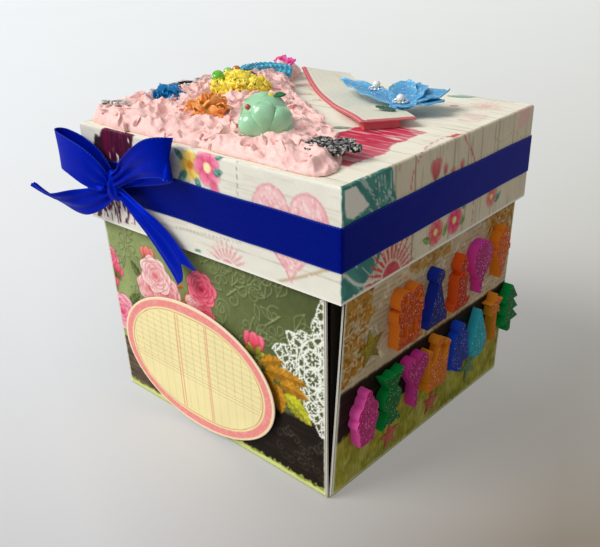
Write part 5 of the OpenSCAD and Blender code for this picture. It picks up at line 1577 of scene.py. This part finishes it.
def card_tag():
    s, v = np.meshgrid(np.linspace(0, 1, 185), np.linspace(0, 1, 43), indexing="ij")
    face, coral = paper_finish("tag_card_sheet", 0.5), card_finish("coral_card", "#c94b58", "#e0717a")
    for name, low, high, grow, finish in (("tag_card_face", 0.42, 0.8, 0.0, face),
                                          ("tag_red_backing", 0.0, 0.4, 0.7, coral)):
        y = -grow + (TAG_W + grow) * v
        start = 5.04 * v - grow
        u = start + (TAG_LEN + 0.6 * grow - start) * s
        curl = np.clip(1 - u / 35, 0, 1) ** 2
        base = tag_z(np.clip(u, 0, TAG_LEN)) - 2.4 * curl * v + 0.15 * np.sin(u / 9) * v
        base = np.maximum(base, 0.06)
        top, under = (moved(ON_TAG, np.stack([u, y, base + h], -1)) for h in (high, low))
        if grow:
            piece(name, shell(top[::4, ::3], under[::4, ::3]), finish, "lid")
        else:
            p = Print(u.ravel(), y.ravel(), "#f6f2e4", 21)
            paint_tag(p)
            piece(name, shell(top, under), finish, "lid", ("card_tag",), p.rgb)


card_tag()

FLOWER_Z = float(tag_z(np.array(79.3))) + 0.85
ON_FLOWER = ON_TAG @ shift(0.8076 * TAG_LEN, 1.01 * TAG_W, FLOWER_Z) @ turn("Z", 37.1)


def blue_flower():
    shades = petal_finish("blue_glitter_petals", "#1768b4", "#68bce2", 0.06, 0.45, True)
    s, t = np.meshgrid(np.linspace(0, 1, 44), np.linspace(-1, 1, 23), indexing="ij")
    parts, marks = [], []
    for k, (angle, length, width, rise) in enumerate(((157, 45, 11, 1.5), (118, 17, 11, 5), (92, 17, 10, 4),
                                                      (66, 21, 12, 2.6), (38, 16, 11, .6), (-20, 7, 9, .2))):
        half = width / 2 * np.sin(np.radians(16 + 158.4 * s)) ** (0.8 if length > 30 else 0.5)
        half = half * (1 + 0.05 * np.sin(s * 23 + 2 * k) * (s > 0.2))
        ruffle = 0.55 * t ** 2 * np.sin(s * length / 2.1 + 2 * k + 1.4 * np.sign(t)) * ease(s * 2)
        veins = -0.16 * within(abs((t * (5 + s * 2)) % 1 - 0.5) - 0.1, 0.25) * (1 - s)
        z = 1.1 + rise * s + 1.1 * t ** 2 * ease(s * 1.6) * (1 - 0.4 * s) + ruffle + veins + 0.06 * k
        p = np.stack([0.6 + length * s, t * half, z], -1)
        q, f = thick(p, 0.5)
        parts.append((moved(turn("Z", angle), q), f))
        # Painted shade and light: each petal darker in its low, cupped middle and at its base, lighter towards its
        # raised rims and tip.
        light = np.clip(0.15 + 0.6 * abs(t) ** 2 + 0.35 * s, 0, 1)
        m = np.stack([s, t, light], -1).reshape(-1, 3)
        marks += [m, m]
    heart, f = lathe([(0, 0), (4.2, 0), (4.4, 0.5), (3.8, 1.2), (2.4, 1.55), (0, 1.6)], 40)
    parts.append((heart, f))
    # The heart under the pearl takes the darkest share: painted shade.
    marks.append(np.tile([0, 0, 0.1], (len(heart), 1)))
    p, f = together(*parts)
    piece("glitter_flower", (moved(ON_FLOWER, p), f), shades, "lid", ("blue_flower",),
          run=np.concatenate(marks), sharp=50)
    shine = resin_finish("pearl_coat", "#e9e4d9", "#fbf9f3", 0.9, 0.22, 2.0)
    # The clear stones are given a grey-blue colour with white facets at random: painted reflections and glints.
    stone = Finish("clear_rhinestone")
    clear = stone.surface(Base_Color=stone.mix(stone.split(stone.cells(0.7), 0), tint("#a9bcc8"), tint("#ffffff")),
                          Metallic=0.35, Roughness=0.12 + 0.1 * stone.noise(1), Coat_Weight=0.8)
    cut = lathe([(0, -0.25), (0.55, -0.25), (0.62, 0), (0.4, 0.32), (0, 0.36)], 8)
    seat = lathe([(0, 0.02), (1.2, 0.02), (1.25, 0.3), (0, 0.36)], 24)
    r = 1.7
    profile = [(0, -r)] + [(r * math.sin(v), -r * math.cos(v)) for v in np.linspace(0, math.pi, 17)[1:-1]] + [(0, r)]
    for node, x, y, z, high in (("pearl_left", -20, 12.4, 2.37, 0.4), ("pearl_right", 0, 0, 1.65, 0.75)):
        at = ON_FLOWER @ shift(x, y, z)
        p, q = lathe(profile, 36)
        p, q = together((p + [0, 0, r], q), seat)
        piece(node + "_bead", (moved(at, p), q), shine, "lid", (node,), sharp=50)
        ring = []
        for k in range(11):
            spot = at @ turn("Z", 360 * k / 11) @ shift(2.75, 0, high) @ turn("Y", 12)
            ring.append((moved(spot, cut[0] * 1.05), cut[1]))
        piece(node + "_stones", together(*ring), clear, "lid", sharp=20)


blue_flower()


def dark_leaf():
    s, t = np.meshgrid(np.linspace(0, 1, 26), np.linspace(-1, 1, 11), indexing="ij")
    half = 1.7 * np.sin(math.pi * s ** 0.85) ** 0.8
    p = np.stack([-5 + 10 * s, t * half, 0.35 + 0.35 * abs(t) + 0.12 * np.sin(s * 30) * abs(t)], -1)
    at = ON_TAG @ shift(78.02, 14, float(tag_z(np.array(84.0))) + 0.87) @ turn("Z", 30)
    q, f = thick(p, 0.4)
    piece("dark_green_leaf", (moved(at, q), f), petal_finish("dark_leaf_paper", "#123528", "#2f6a4e"), "lid",
          ("dark_leaf",))


dark_leaf()

# ---- card that stays as it was drawn ----

def dress(node, finish):
    """Gives a node of the CAD its material, where its own shape is kept."""
    thing = bpy.data.objects[node]
    if not thing.material_slots:
        thing.data.materials.append(finish)
    for slot in thing.material_slots:
        slot.material = finish


dress("outer_sheet", card_finish("outer_black_card", "#26221b", "#443d30", 0.8, "#cdc9bc"))
INNER_CARD = card_finish("inner_black_card", "#26221b", "#443d30")
dress("middle_sheet", INNER_CARD)
dress("inner_sheet", INNER_CARD)
dress("inner_mats", card_finish("cream_mat_card", "#e4dac2", "#f3ebd8"))
dress("lid_tray", card_finish("lid_board", "#c4bba6", "#dcd4c0"))
dress("tag_foam_pads", card_finish("white_pad_foam", "#e9e8e2", "#fbfaf6", 0.5))
dress("tag_lift_pad", card_finish("coral_pad_foam", "#c94f5a", "#e27a80", 0.5))
